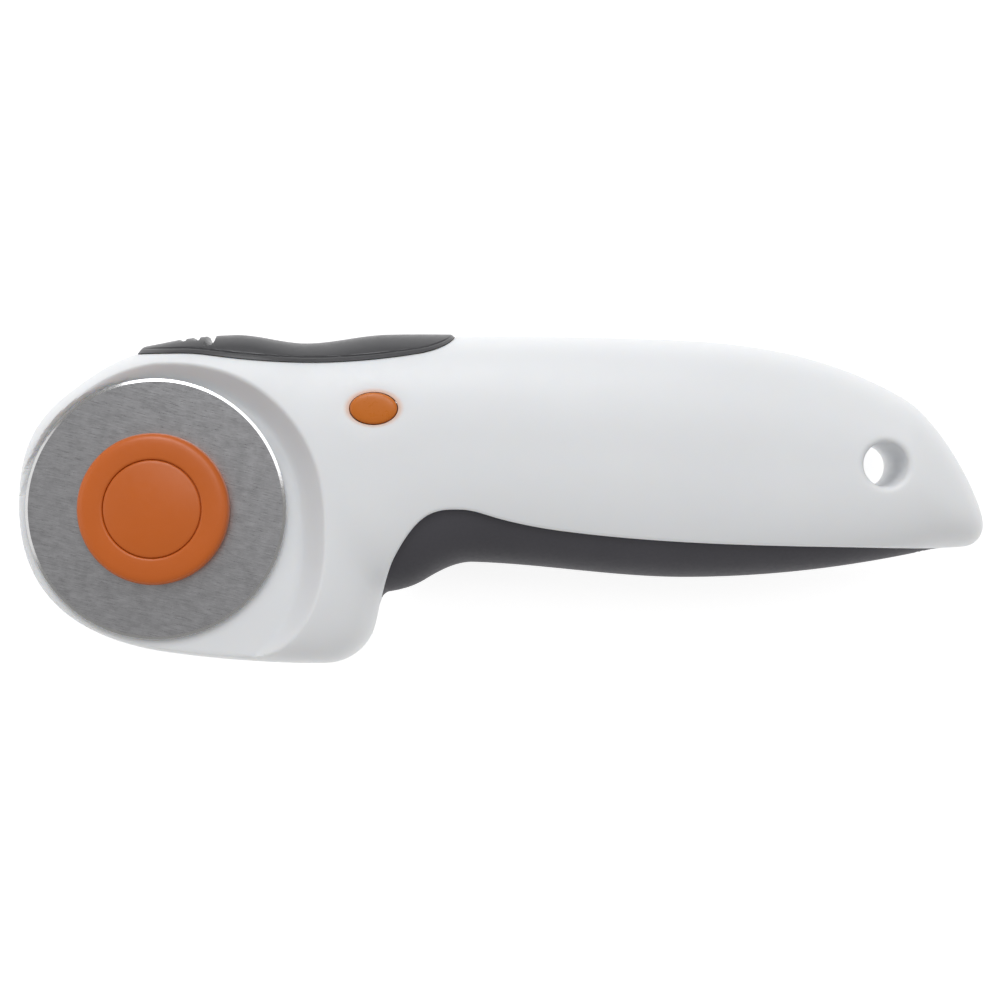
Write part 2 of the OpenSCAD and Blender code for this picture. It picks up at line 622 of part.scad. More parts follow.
// ---- Blade carrier ----
module carrier_plate() {
    rim = 3.2;
    guide_rim = 2.4;
    color(NATURAL) difference() {
        union() {
            tube(8.5, carrier_z, carrier_top, [bx, by]);
            for (g = guides) prism(slot_points(g, g - carrier_travel * slide_dir, sleeve_d / 2 + guide_rim),
                carrier_z, carrier_top);
            // webs from the hub to the guides and to the cam
            prism([[bx - 4, by], [bx + 6, by - 4], guides[0] + [0, -4], guides[0] + [6, 2],
                cam_a + [5.2, -2], cam_a + [2, 3], cam_b + [5, 1], cam_b + [-4, -2], [bx + 9, by + 9],
                guides[1] + [4, 6], guides[1] + [-3, 0]], carrier_z, carrier_top);
            prism(slot_points(cam_a, cam_b, pin_d / 2 + rim), carrier_z, carrier_top);
        }
        for (g = guides) prism(slot_points(g + 0.2 * slide_dir, g - (carrier_travel + 0.2) * slide_dir,
            sleeve_d / 2 + 0.15), carrier_z - 1, carrier_top + 1);
        prism(slot_points(cam_a, cam_b, pin_d / 2 + cam_gap), carrier_z - 1, carrier_top + 1);
        tube(3.5 + run_gap, carrier_z - 1, carrier_top + 1, [bx, by]);
        tube(track_r + wall + carrier_gap, carrier_z - 1, carrier_top + 1, pivot);
        tube(lock_boss_r + carrier_gap, lock_boss_z - carrier_gap, carrier_top + 1, lock_at);
    }
}

hub_base_d = 12;
nut_top = floor_z - 0.4;
post_top = floor_z + 3.4;
module hub_post() {
    color(STEEL) difference() {
        union() {
            tube(hub_base_d / 2, carrier_z - 1.6, carrier_z, [bx, by]);
            tube(3.5, carrier_z - eps, nut_top, [bx, by]);
            tube(post_d / 2, nut_top - eps, post_top, [bx, by]);
        }
        tube(1.35, floor_z - 1.5, post_top + 1, [bx, by]);
        // groove for the latch clip
        difference() {
            tube(post_d, clip_z - 0.1, clip_z + clip_t + 0.1, [bx, by]);
            tube(post_d / 2 - 0.4, clip_z - 1, clip_z + 2, [bx, by]);
        }
    }
}

module hub_nut() {
    color(STEEL) difference() {
        tube(nut_d / 2, carrier_top, nut_top, [bx, by]);
        tube(3.5 + 0.02, carrier_top - 1, nut_top + 1, [bx, by]);
        for (a = [0, 90]) translate([bx, by, nut_top]) rotate(a + 45)
            cube([nut_d + 2, 0.9, 1], center = true);
    }
}

// ---- Quick-change cartridge ----
washer_z = floor_z + 0.15;
blade_z = floor_z + 0.8;
cap_z = blade_z + blade_t;
web_t = 1.2;
cap_top = floor_z + 4.9;
clip_z = floor_z + 1.4;
clip_t = 0.6;
bush_r = blade_bore / 2 - run_gap;
flange_z = cap_z + web_t + run_gap;
flange_t = 0.5;
button_top = floor_z + 5.7;
button_roof = button_top - 1;
spring_r = button_d / 2 - 3.4;

module hub_bushing() {
    color(NATURAL) difference() {
        union() {
            tube(4.7, nut_top + 0.15, washer_z - 0.05, [bx, by]);
            tube(bush_r, nut_top + 0.2, flange_z + eps, [bx, by]);
            tube(6.2, flange_z, flange_z + flange_t, [bx, by]);
        }
        tube(post_d / 2 + run_gap, nut_top - 1, flange_z + 2, [bx, by]);
        difference() {
            tube(3.35, clip_z - 0.05, clip_z + clip_t + 0.05, [bx, by]);
            tube(1, clip_z - 1, clip_z + 2, [bx, by]);
        }
    }
}

// Open ring that snaps into the post's groove
module latch_clip() {
    color(STEEL) difference() {
        tube(3.3, clip_z, clip_z + clip_t, [bx, by]);
        tube(post_d / 2 - 0.3, clip_z - 1, clip_z + 2, [bx, by]);
        translate([bx - 1.2, by - 5, clip_z - 1]) cube([2.4, 5, 3]);
    }
}

module blade() {
    color(STEEL) translate([bx, by, 0]) difference() {
        rotate_extrude($fn = 128) polygon([[1, blade_z], [blade_r - bevel_w, blade_z],
            [blade_r, blade_z + blade_t / 2 - 0.02], [blade_r, blade_z + blade_t / 2 + 0.02],
            [blade_r - bevel_w, cap_z], [1, cap_z]]);
        translate([0, 0, blade_z - 1]) cylinder(r = blade_bore / 2, h = 3, $fn = 64);
    }
}

// Ring with a rounded rim and a funnel down to the button
module blade_cap() {
    r = cap_d / 2;
    b = button_d / 2 + 0.15;
    color(ORANGE) translate([bx, by, 0]) rotate_extrude($fn = 128)
        polygon([[blade_bore / 2, cap_z + 0.02], [r, cap_z + 0.02], [r, cap_top - 0.9],
            [r - 0.12, cap_top - 0.45], [r - 0.45, cap_top - 0.12], [r - 0.9, cap_top],
            [b + 1, cap_top], [b + 0.4, cap_top - 0.2], [b, cap_top - 0.8],
            [b, cap_z + web_t], [blade_bore / 2, cap_z + web_t]]);
}

module backing_washer() {
    color(STEEL) translate([bx, by, 0]) difference() {
        tube(9, washer_z, blade_z - 0.02);
        tube(blade_bore / 2, washer_z - 1, blade_z + 1);
    }
}

module release_button() {
    r = button_d / 2;
    skirt_z = flange_z + flange_t + button_travel + 0.05;
    color(ORANGE) translate([bx, by, 0]) rotate_extrude($fn = 96)
        polygon([[0, button_roof], [0, floor_z + 1.5 + button_travel],
            [0, floor_z + 1.5], [1.2, floor_z + 1.5],
            [1.2, button_roof - 0.02], [r - 1.2, button_roof - 0.02], [r - 1.2, skirt_z], [r, skirt_z],
            [r, button_top - 1.5], [r - 0.4, button_top - 1.05],
            [r - 1.2, button_top - 0.7], [r * 0.62, button_top - 0.25],
            [r * 0.3, button_top - 0.06], [0, button_top]]);
}

// Two and a half turns of flat wire, drawn as stacked rings joined by a riser
module button_spring() {
    z0 = flange_z + flange_t;
    h = button_roof - 0.02 - z0;
    color(STEEL) translate([bx, by, 0]) difference() {
        rotate_extrude($fn = 48) polygon([[spring_r - 0.3, z0], [spring_r + 0.3, z0],
            [spring_r + 0.3, z0 + h],
            [spring_r - 0.3, z0 + h]]);
        for (i = [0 : 1]) rotate(i * 180) translate([0, 0, z0 + h * (i + 1) / 3 - h / 12])
            rotate_extrude(angle = 300, $fn = 48) polygon([[spring_r - 1, 0], [spring_r + 1, 0],
                [spring_r + 1, h / 6],
                [spring_r - 1, h / 6]]);
    }
}

// ---- Cross-bolt lock ----
module lock_button() {
    color(ORANGE) union() {
        prism(oval_points(lock_at, lock_l, lock_w, 0), lock_head_z, lock_top_z);
        prism(oval_points(lock_at, lock_l, lock_w, -0.6), lock_top_z - eps, lock_top_z + 0.3);
        tube(lock_neck_r, lock_rear_z + lock_rear_t - 1, lock_top_z - 1, lock_at);
        tube(lock_collar_r, lock_collar_z, lock_collar_z + lock_collar_t, lock_at);
    }
}

module lock_rear_button() {
    color(ORANGE) difference() {
        prism(oval_points(lock_at, lock_l, lock_w, 0), lock_rear_z, lock_rear_z + lock_rear_t);
        tube(lock_neck_r, lock_rear_z + lock_rear_t - 1, lock_rear_z + lock_rear_t + 1, lock_at);
    }
}

front_shell();
rear_shell();
soft_grip();
shell_screws();
guide_screws();
guide_sleeves();
detent_spring();
lock_spring();
slider_cap();
slider_foot();
slider_screw();
drive_pin();
carrier_plate();
hub_post();
hub_nut();
hub_bushing();
latch_clip();
blade();
blade_cap();
backing_washer();
release_button();
button_spring();
lock_button();
lock_rear_button();
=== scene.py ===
import math

import bpy
import bmesh
import numpy as np
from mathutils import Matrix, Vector
from mathutils.bvhtree import BVHTree
from mathutils.geometry import delaunay_2d_cdt
from mathutils.kdtree import KDTree


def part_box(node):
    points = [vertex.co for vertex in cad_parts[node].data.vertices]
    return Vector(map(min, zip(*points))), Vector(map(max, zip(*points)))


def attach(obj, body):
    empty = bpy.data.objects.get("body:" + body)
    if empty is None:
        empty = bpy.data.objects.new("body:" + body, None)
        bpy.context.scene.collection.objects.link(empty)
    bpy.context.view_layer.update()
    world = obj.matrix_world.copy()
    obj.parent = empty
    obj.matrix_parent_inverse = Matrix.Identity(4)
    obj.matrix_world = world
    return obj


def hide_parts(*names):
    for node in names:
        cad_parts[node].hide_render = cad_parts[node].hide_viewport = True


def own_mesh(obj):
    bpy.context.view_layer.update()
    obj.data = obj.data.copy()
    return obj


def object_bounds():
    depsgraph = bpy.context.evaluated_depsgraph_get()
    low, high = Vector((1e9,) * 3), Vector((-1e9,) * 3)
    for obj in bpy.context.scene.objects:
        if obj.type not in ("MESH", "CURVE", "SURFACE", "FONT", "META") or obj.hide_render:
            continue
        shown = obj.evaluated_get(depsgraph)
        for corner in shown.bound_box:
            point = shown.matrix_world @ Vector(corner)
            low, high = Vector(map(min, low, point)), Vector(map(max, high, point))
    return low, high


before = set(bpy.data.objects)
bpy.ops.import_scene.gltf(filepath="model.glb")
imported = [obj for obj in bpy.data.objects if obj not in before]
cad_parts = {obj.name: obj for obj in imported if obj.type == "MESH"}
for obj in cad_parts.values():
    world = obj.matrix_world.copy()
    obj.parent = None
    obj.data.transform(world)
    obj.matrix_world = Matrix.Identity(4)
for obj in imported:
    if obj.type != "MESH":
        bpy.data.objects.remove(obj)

CAD_LOW, CAD_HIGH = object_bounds()
MM = 0.001


# ---------------------------------------------------------------- sizes, in mm
def node_box(node):
    low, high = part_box(node)
    return np.array(low) / MM, np.array(high) / MM


blade_low, blade_high = node_box("blade")
BX, BY = (blade_low[:2] + blade_high[:2]) / 2
BLADE_R = (blade_high[0] - blade_low[0]) / 2
BLADE_Z = blade_low[2]
BLADE_T = blade_high[2] - blade_low[2]
HEAD_X = CAD_LOW[0] / MM
TAIL_X = CAD_HIGH[0] / MM
PART_Z = node_box("front_shell")[0][2]
BODY_T = 2 * PART_Z
FLOOR_Z = BLADE_Z - 0.8
TOP_Y = 28.2
LOW_Y = -28.8
WALL = 2.0
HEEL_X = BX + BLADE_R + 6.85
GRIP_X = HEEL_X + 9.9
GRIP_END_X = TAIL_X - 9.25
HANDLE_POWER = 2.6
HEAD_POWER = 3.6
HEAD_STEP = 6.0
BACK_EXTRA = 0.8
TAIL_DROP = 1.5
GRIP_STEP = 1.5
HANG_R = 3.8
HANG_AT = np.array([TAIL_X - 18.55, BY + 7.65])
LOCK_AT = np.array([HEEL_X + 8.5, TOP_Y - 12.9])
LOCK_L, LOCK_W = 8.1, 5.4
TRACK_R = 113.4
PIVOT = np.array([BX + 26.4, TOP_Y + 108.5])
TRACK_LOW_Y = PIVOT[1] - TRACK_R
LIP_Y = TRACK_LOW_Y + 1.65
SLIDER_FRONT_X = BX - 3.55
SLIDER_REAR_X = HEEL_X + 22.2
SLIDER_GAP = 0.2
REAR_CURVE_X = SLIDER_REAR_X - 6
TRAVEL = 7.0
SLIDE_DIR = np.array([-0.5, -math.sqrt(3) / 2])
GUIDES = [np.array([BX + 14.75, BY - 12.15]), np.array([BX - 6.25, BY + 11.85])]
BOSSES = [np.array([HEEL_X + 8.4, BY - 0.5]), np.array([HEEL_X + 50.4, BY + 8]),
          np.array([TAIL_X - 34.25, BY + 1.5])]
RECESS = [(np.array([BX + 3.1, BY - 0.9]), BLADE_R + 3.8),
          (np.array([BX + 1.1, BY - 6.65]), BLADE_R + 6.1)]
SCREW_BORE_R = 1.45
SCREW_HEAD_R = 2.8
SCREW_SEAT_Z = 4.2
GUIDE_SEAT_DEPTH = 1.2
BOSS_R = 3.6
LOCK_BOSS_R, LOCK_BOSS_Z = 5.6, 15.3
LOCK_REAR_BOSS_R = 5.4
LOCK_NECK_R, LOCK_COLLAR_R = 1.7, 3.4
LOCK_GAP = 0.15
HUB_SLOT_R = 4.9
HUB_BORE_R = 4.0
TAB_X0, TAB_X1 = BX + 22.75, BX + 34.75
PAST = 2.0
DENSE = 6


# ------------------------------------------------------------ curves and loops
def knot_y(knots, x):
    """Height at x of the smooth curve through knots (x, y, slope)."""
    i = 0
    while i < len(knots) - 2 and x > knots[i + 1][0]:
        i += 1
    (x0, y0, s0), (x1, y1, s1) = knots[i], knots[i + 1]
    w = x1 - x0
    t = (x - x0) / w
    return ((1 - 3 * t * t + 2 * t ** 3) * y0 + (t - 2 * t * t + t ** 3) * w * s0
            + (3 * t * t - 2 * t ** 3) * y1 + (t ** 3 - t * t) * w * s1)


def heading(angle):
    return np.array([math.cos(math.radians(angle)), math.sin(math.radians(angle))])


def arc_points(a, b, n):
    """n points of a cubic curve from (x, y, heading, pull) to another, without its last point."""
    p, s = np.array(a[:2]), np.array(b[:2])
    q, r = p + a[3] * heading(a[2]), s - b[3] * heading(b[2])
    t = (np.arange(n) / n)[:, None]
    w = 1 - t
    return w ** 3 * p + 3 * w * w * t * q + 3 * w * t * t * r + t ** 3 * s


def smooth_step(t):
    t = np.clip(t, 0, 1)
    return t * t * (3 - 2 * t)


FAR_Y = TOP_Y - 10.4
TOP_KNOTS = [(BX + 1.75, TOP_Y - 1.7, 0.17), (BX + 19.75, TOP_Y - 0.5, 0.02), (HEEL_X + 49, TOP_Y, -0.03),
             (TAIL_X - 14.25, FAR_Y, -0.58)]
GRIP_KNOTS = [(GRIP_X, LOW_Y + 12.3, 0.15), (GRIP_X + 7, LOW_Y + 14.55, 0.62),
              (GRIP_X + 15.5, LOW_Y + 17.6, -0.03), (GRIP_X + 52.5, LOW_Y + 14.95, 0),
              (GRIP_END_X, LOW_Y + 19.75, 0.22)]
EDGE_KNOTS = [(GRIP_X - 0.3, LOW_Y + 12.4, 3), (GRIP_X + 1.9, LOW_Y + 18.5, 1.9),
              (GRIP_X + 6, LOW_Y + 24.5, 1), (GRIP_X + 13.5, LOW_Y + 26.85, -0.02),
              (GRIP_X + 20, LOW_Y + 25.3, -0.27),
              (GRIP_X + 31, LOW_Y + 23.15, -0.13), (GRIP_X + 80, LOW_Y + 20.35, -0.02),
              (GRIP_END_X + 1.5, LOW_Y + 20.05, 0)]
SPINE_A, SPINE_B = np.array([BX + 1.75, BY + 1.5]), np.array([TAIL_X - 14.25, FAR_Y - 13.9])
SPINE_KNOTS = [(*SPINE_A, 0), (HEEL_X - 5.1, BY + 3.4, 0.2), (HEEL_X + 21.9, TOP_Y - 20, 0.12),
               (HEEL_X + 49.9, TOP_Y - 20.7, -0.03), (*SPINE_B, -0.1)]
RIB_STOPS = [(SPINE_A[0], 7), (BX + 16.75, 5), (HEEL_X - 5.1, 2), (HEEL_X - 1.1, 3), (HEEL_X + 2.9, 6),
             (HEEL_X + 21.9, 16), (SPINE_B[0], 0)]


def body_ribs():
    """Outline points of the body, and the spine place that each one's rib runs to."""
    d = DENSE
    rib_x = np.concatenate([np.linspace(a[0], b[0], a[1] * d, endpoint=False)
                            for a, b in zip(RIB_STOPS, RIB_STOPS[1:])])
    left = (HEAD_X, BY + 0.65)
    crown = (BX - 11.55, BY + 23.35)
    corner = (TAIL_X - 2.9, LOW_Y + 20.35)
    tip = (TAIL_X, LOW_Y + 24)
    far = GRIP_X + 15.5
    head_top = np.concatenate([
        arc_points((*left, 90, 12.8), (*crown, 34, 9.8), 6 * d),
        arc_points((*crown, 34, 6), (BX + 1.75, TOP_Y - 1.7, 9.6, 5), 4 * d)])
    top = np.array([(x, knot_y(TOP_KNOTS, x)) for x in rib_x])
    tail = np.concatenate([
        arc_points((SPINE_B[0], FAR_Y, -30.1, 8), (*tip, -90, 4.2), 9 * d),
        arc_points((*tip, -90, 2), (*corner, -171, 1.6), 4 * d),
        arc_points((*corner, -171, 2), (GRIP_END_X, LOW_Y + 19.75, -167.6, 2), 2 * d)])
    low_x = np.concatenate([np.linspace(GRIP_END_X, far, 16 * d, endpoint=False),
                            np.linspace(far, far - 14.8, 6 * d, endpoint=False)])
    low = np.concatenate([
        np.array([(x, knot_y(GRIP_KNOTS, x)) for x in low_x]),
        arc_points((GRIP_X + 0.7, knot_y(GRIP_KNOTS, GRIP_X + 0.7), -170, 0.8),
                   (HEEL_X + 8.9, LOW_Y + 10.5, -103, 0.9), 3 * d),
        arc_points((HEEL_X + 8.9, LOW_Y + 10.5, -103, 1.5), (HEEL_X + 7.8, LOW_Y + 5.7, -107, 1.5), 2 * d),
        arc_points((HEEL_X + 7.8, LOW_Y + 5.7, -107, 2.9), (HEEL_X, LOW_Y, -178, 4), 5 * d),
        arc_points((HEEL_X, LOW_Y, -178, 8), (BX + 1.75, LOW_Y + 1.8, 172, 8), 7 * d)])
    head_low = arc_points((BX + 1.75, LOW_Y + 1.8, 172, 14.6), (*left, 90, 17.1), 14 * d)
    outline = np.concatenate([head_top, top, tail, low, head_low])
    back_x = np.concatenate([[SPINE_B[0]], rib_x[:0:-1]])
    place = np.concatenate([np.full(len(head_top), SPINE_A[0]), rib_x, np.full(len(tail), SPINE_B[0]),
                            back_x, np.full(len(head_low), SPINE_A[0])])
    return outline, place


OUTLINE, PLACE = body_ribs()
SPINE = np.array([(x, knot_y(SPINE_KNOTS, x)) for x in PLACE])
NEXT = np.roll(np.arange(len(OUTLINE)), -1)


def rib_lean():
    way = SPINE - OUTLINE
    way /= np.linalg.norm(way, axis=1)[:, None]
    edge = np.roll(OUTLINE, -1, axis=0) - np.roll(OUTLINE, 1, axis=0)
    edge /= np.linalg.norm(edge, axis=1)[:, None]
    return way, np.maximum(np.abs(edge[:, 0] * way[:, 1] - edge[:, 1] * way[:, 0]), 0.5)


RIB_WAY, RIB_LEAN = rib_lean()
RIB_LEN = np.linalg.norm(SPINE - OUTLINE, axis=1)


def front_rise(x):
    return BODY_T - PART_Z - TAIL_DROP * smooth_step((x - HEEL_X - 60) / 40)


def back_rise(x):
    return PART_Z + BACK_EXTRA - (HEAD_STEP + BACK_EXTRA) * smooth_step((HEEL_X - 4 - x) / 16)


def section_power(x):
    return HANDLE_POWER + (HEAD_POWER - HANDLE_POWER) * smooth_step((HEEL_X - x) / 14)


RIBS = len(OUTLINE)
RIB_TREE = BVHTree.FromPolygons(
    [(x, y, 0) for x, y in OUTLINE] + [(x, y, 0) for x, y in SPINE],
    [f for i in range(RIBS) for f in ((i, NEXT[i], NEXT[i] + RIBS), (i, NEXT[i] + RIBS, i + RIBS))],
    all_triangles=True)


def on_ribs(points):
    """Rib number, share to the next rib and share of the way to the spine, for each point."""
    rib = np.empty(len(points), int)
    for k, (x, y) in enumerate(points):
        rib[k] = RIB_TREE.find_nearest((x, y, 0))[2] // 2
    a, b, c, d = OUTLINE[rib], OUTLINE[NEXT[rib]], SPINE[rib], SPINE[NEXT[rib]]
    s = np.full(len(points), 0.5)
    u = np.full(len(points), 0.5)
    for _ in range(12):
        p = (1 - u)[:, None] * (a + s[:, None] * (b - a)) + u[:, None] * (c + s[:, None] * (d - c))
        ds = (1 - u)[:, None] * (b - a) + u[:, None] * (d - c)
        du = (c + s[:, None] * (d - c)) - (a + s[:, None] * (b - a))
        e = points - p
        det = ds[:, 0] * du[:, 1] - ds[:, 1] * du[:, 0]
        det = np.where(np.abs(det) < 1e-9, 1e-9, det)
        s = np.clip(s + (e[:, 0] * du[:, 1] - e[:, 1] * du[:, 0]) / det, -0.5, 1.5)
        u = np.clip(u + (ds[:, 0] * e[:, 1] - ds[:, 1] * e[:, 0]) / det, 0, 1)
    return rib, s, u


def pillow(points, side, inset=0.0):
    """Height above the parting plane of the rounded body at each point, front or back."""
    rib, s, u = on_ribs(points)
    mix = lambda v: v[rib] * (1 - s) + v[NEXT[rib]] * s
    x = mix(PLACE)
    if inset:
        share = inset / mix(RIB_LEAN) / mix(RIB_LEN)
        u = np.clip((u - share) / (1 - share), 0, 1)
    power = section_power(x)
    rise = (front_rise(x) if side > 0 else back_rise(x)) - inset
    return rise * (1 - (1 - u) ** power) ** (1 / power)


def smooth_min(a, b, k):
    h = np.clip(0.5 + 0.5 * (b - a) / k, 0, 1)
    return b + (a - b) * h - k * h * (1 - h)


def recess_distance(p):
    """How far each point is outside the lip of the blade recess."""
    return smooth_min(*[np.hypot(*(p - c).T) - r for c, r in RECESS], 1.2)


COVE_SIDE, COVE_TOP = 4.8, 2.7
COVE_POWER = 1.25
BLADE_CLEAR = 0.35


def recess_height(p):
    """Height of the blade recess: flat floor, a cove up to the lip, and room for the blade to slide."""
    angle = np.arctan2(p[:, 1] - BY, p[:, 0] - BX)
    width = COVE_TOP + (COVE_SIDE - COVE_TOP) * np.clip(np.cos(angle), 0, 1) ** 0.8
    rise = np.clip((recess_distance(p) + width) / COVE_SIDE, 0, 4) ** COVE_POWER
    cove = FLOOR_Z - PART_Z + (BODY_T - FLOOR_Z) * rise
    along = np.clip((p - [BX, BY]) @ SLIDE_DIR, 0, TRAVEL)
    away = np.linalg.norm(p - [BX, BY] - along[:, None] * SLIDE_DIR, axis=1) - BLADE_R - BLADE_CLEAR
    room = BLADE_Z - BLADE_CLEAR - PART_Z + np.clip(away, 0, 9) * 5
    return np.minimum(cove, room)


def grip_edge(gap, n=260):
    x = GRIP_X - 0.3 + (GRIP_END_X + 1.8 - GRIP_X) * np.linspace(0, 1, n) ** 1.6
    y = np.array([knot_y(EDGE_KNOTS, v) for v in x])
    slope = np.array([(knot_y(EDGE_KNOTS, v + 0.05) - w) / 0.05 for v, w in zip(x, y)])
    normal = np.stack([-slope, np.ones(n)], 1) / np.hypot(slope, 1)[:, None]
    line = np.stack([x, y], 1) + gap * normal
    first, last = line[0] - line[1], line[-1] - line[-2]
    return np.concatenate([[line[0] + 3 * first / np.linalg.norm(first)], line,
                           [line[-1] + 3 * last / np.linalg.norm(last)]])


def track_line(gap):
    """Line of the saddle under the slider, from the head to its rear end."""
    r = TRACK_R + gap
    lip = LIP_Y - gap
    arc_x = np.linspace(SLIDER_FRONT_X - 14, REAR_CURVE_X, 190)
    arc_y = PIVOT[1] - np.sqrt(r * r - (arc_x - PIVOT[0]) ** 2)
    past = arc_x > PIVOT[0]
    flat = smooth_min(np.full(len(arc_x), lip), arc_y, np.where(past, 0.01, 0.5))
    arc = np.stack([arc_x, np.where(past, arc_y, flat)], 1)
    end_x = SLIDER_REAR_X + gap
    slope = math.degrees(math.atan2(REAR_CURVE_X - PIVOT[0], PIVOT[1] - arc[-1][1]))
    rise = arc_points((*arc[-1], slope, 3.2), (end_x, TOP_Y + 0.1, 90, 1.2), 24)[1:]
    top = np.array([[end_x, TOP_Y + 0.1], [end_x, TOP_Y + 3]])
    return np.concatenate([arc, rise, top])


def apart(points):
    """The points without those that sit on the one before."""
    return np.array([q for k, q in enumerate(points) if k == 0 or np.linalg.norm(q - points[k - 1]) > 0.02])


def splice(loop, line):
    """Cuts a closed loop by an open line that crosses it twice. Returns both closed parts."""
    found = []
    for j in range(len(line) - 1):
        a, ab = line[j], line[j + 1] - line[j]
        c, cd = loop, np.roll(loop, -1, axis=0) - loop
        det = ab[0] * cd[:, 1] - ab[1] * cd[:, 0]
        det = np.where(np.abs(det) < 1e-12, 1e-12, det)
        t = ((c[:, 0] - a[0]) * cd[:, 1] - (c[:, 1] - a[1]) * cd[:, 0]) / det
        s = ((c[:, 0] - a[0]) * ab[1] - (c[:, 1] - a[1]) * ab[0]) / det
        for i in np.nonzero((t >= 0) & (t < 1) & (s >= 0) & (s < 1))[0]:
            found.append((i + s[i], j + t[i], a + t[i] * ab))
    found = [min(found, key=lambda f: f[1]), max(found, key=lambda f: f[1])]
    (i0, j0, p0), (i1, j1, p1) = sorted(found, key=lambda f: f[0])
    mid = line[int(math.ceil(min(j0, j1))):int(math.floor(max(j0, j1))) + 1]
    if j0 > j1:
        mid = mid[::-1]
    inner = loop[int(math.ceil(i0 + 1e-9)):int(math.floor(i1)) + 1]
    outer = np.concatenate([loop[int(math.ceil(i1 + 1e-9)):], loop[:int(math.floor(i0)) + 1]])
    around = np.concatenate([[p0], mid, [p1], outer])
    across = np.concatenate([[p0], inner, [p1], mid[::-1]])
    return apart(around), apart(across)


def circle_loop(c, r, n=64):
    a = np.arange(n) * 2 * math.pi / n
    return c + r * np.stack([np.cos(a), np.sin(a)], 1)


def oval_loop(c, length, width, grow, n=72):
    a = np.arange(n) * 2 * math.pi / n
    return c + np.stack([(length / 2 + grow) * np.cos(a), (width / 2 + grow) * np.sin(a)], 1)


def inside(points, loop):
    hit = np.zeros(len(points), bool)
    x, y = points[:, 0], points[:, 1]
    for (x0, y0), (x1, y1) in zip(loop, np.roll(loop, -1, axis=0)):
        if y0 != y1:
            cross = ((y0 > y) != (y1 > y)) & (x < (x1 - x0) * (y - y0) / (y1 - y0) + x0)
            hit ^= cross
    return hit


def loop_distance(points, loop):
    """Distance to a closed loop of short edges."""
    out = np.full(len(points), 1e9)
    for a, b in zip(loop, np.roll(loop, -1, axis=0)):
        near = np.abs(points - (a + b) / 2).max(axis=1) < 6
        if near.any():
            p, ab = points[near] - a, b - a
            t = np.clip(p @ ab / max(ab @ ab, 1e-12), 0, 1)[:, None]
            out[near] = np.minimum(out[near], np.linalg.norm(p - t * ab, axis=1))
    return out


def inward(loop):
    edge = np.roll(loop, -1, axis=0) - np.roll(loop, 1, axis=0)
    edge /= np.linalg.norm(edge, axis=1)[:, None]
    area = np.sum(loop[:, 0] * np.roll(loop[:, 1], -1) - np.roll(loop[:, 0], -1) * loop[:, 1])
    normal = np.stack([-edge[:, 1], edge[:, 0]], 1)
    return normal if area > 0 else -normal


def fill(loops, spacing, offsets, extra=()):
    """Triangles of the area inside the first loop and outside the others."""
    points = [np.concatenate(loops)]
    tree = KDTree(len(points[0]))
    for i, p in enumerate(points[0]):
        tree.insert((*p, 0), i)
    tree.balance()
    far = lambda p: np.array([tree.find((*q, 0))[2] for q in p])

    def within(p):
        holes = [inside(p, h) for h in loops[1:]] or [np.zeros(len(p), bool)]
        return inside(p, loops[0]) & ~np.any(holes, axis=0)

    keep = []
    for d in offsets:
        for n, loop in enumerate(loops):
            ring = loop + inward(loop) * d * (1 if n == 0 else -1)
            ring = ring[::2] if d > 2.2 else ring
            ring = ring[within(ring)]
            keep.append(ring[far(ring) > 0.85 * d])
    for line in extra:
        line = line[within(line)]
        keep.append(line[far(line) > 0.12])
    rings = np.concatenate(keep) if keep else np.zeros((0, 2))
    crowd = KDTree(max(len(rings), 1))
    for i, p in enumerate(rings):
        crowd.insert((*p, 0), i)
    if not len(rings):
        crowd.insert((1e6, 1e6, 0), 0)
    crowd.balance()
    low, high = loops[0].min(axis=0), loops[0].max(axis=0)
    rows = np.arange(low[1], high[1], spacing * 0.866)
    grid = np.array([(x + (k % 2) * spacing / 2, y) for k, y in enumerate(rows)
                     for x in np.arange(low[0], high[0], spacing)])
    grid = grid[within(grid)]
    grid = grid[far(grid) > 0.6 * spacing]
    grid = grid[np.array([crowd.find((*q, 0))[2] for q in grid]) > 0.55 * spacing]
    all_points = np.concatenate([points[0], rings, grid])
    edges, start = [], 0
    for loop in loops:
        edges += [(start + i, start + (i + 1) % len(loop)) for i in range(len(loop))]
        start += len(loop)
    out = delaunay_2d_cdt([Vector(p) for p in all_points], edges, [], 0, 1e-6)
    verts = np.array([tuple(v) for v in out[0]])
    tris = np.array([f for f in out[2] if len(f) == 3])
    tris = tris[within(verts[tris].mean(axis=1))]
    return verts, tris


def mesh_object(name, co, faces, mesh_name=None):
    """Object from points in mm and faces, without loose points and with its normals outwards."""
    mesh = bpy.data.meshes.new(mesh_name or name)
    mesh.from_pydata((np.array(co) * MM).tolist(), [], faces)
    obj = bpy.data.objects.new(name, mesh)
    bpy.context.collection.objects.link(obj)
    bm = bmesh.new()
    bm.from_mesh(mesh)
    bmesh.ops.delete(bm, geom=[v for v in bm.verts if not v.link_faces], context="VERTS")
    bmesh.ops.recalc_face_normals(bm, faces=bm.faces)
    bm.to_mesh(mesh)
    bm.free()
    return obj


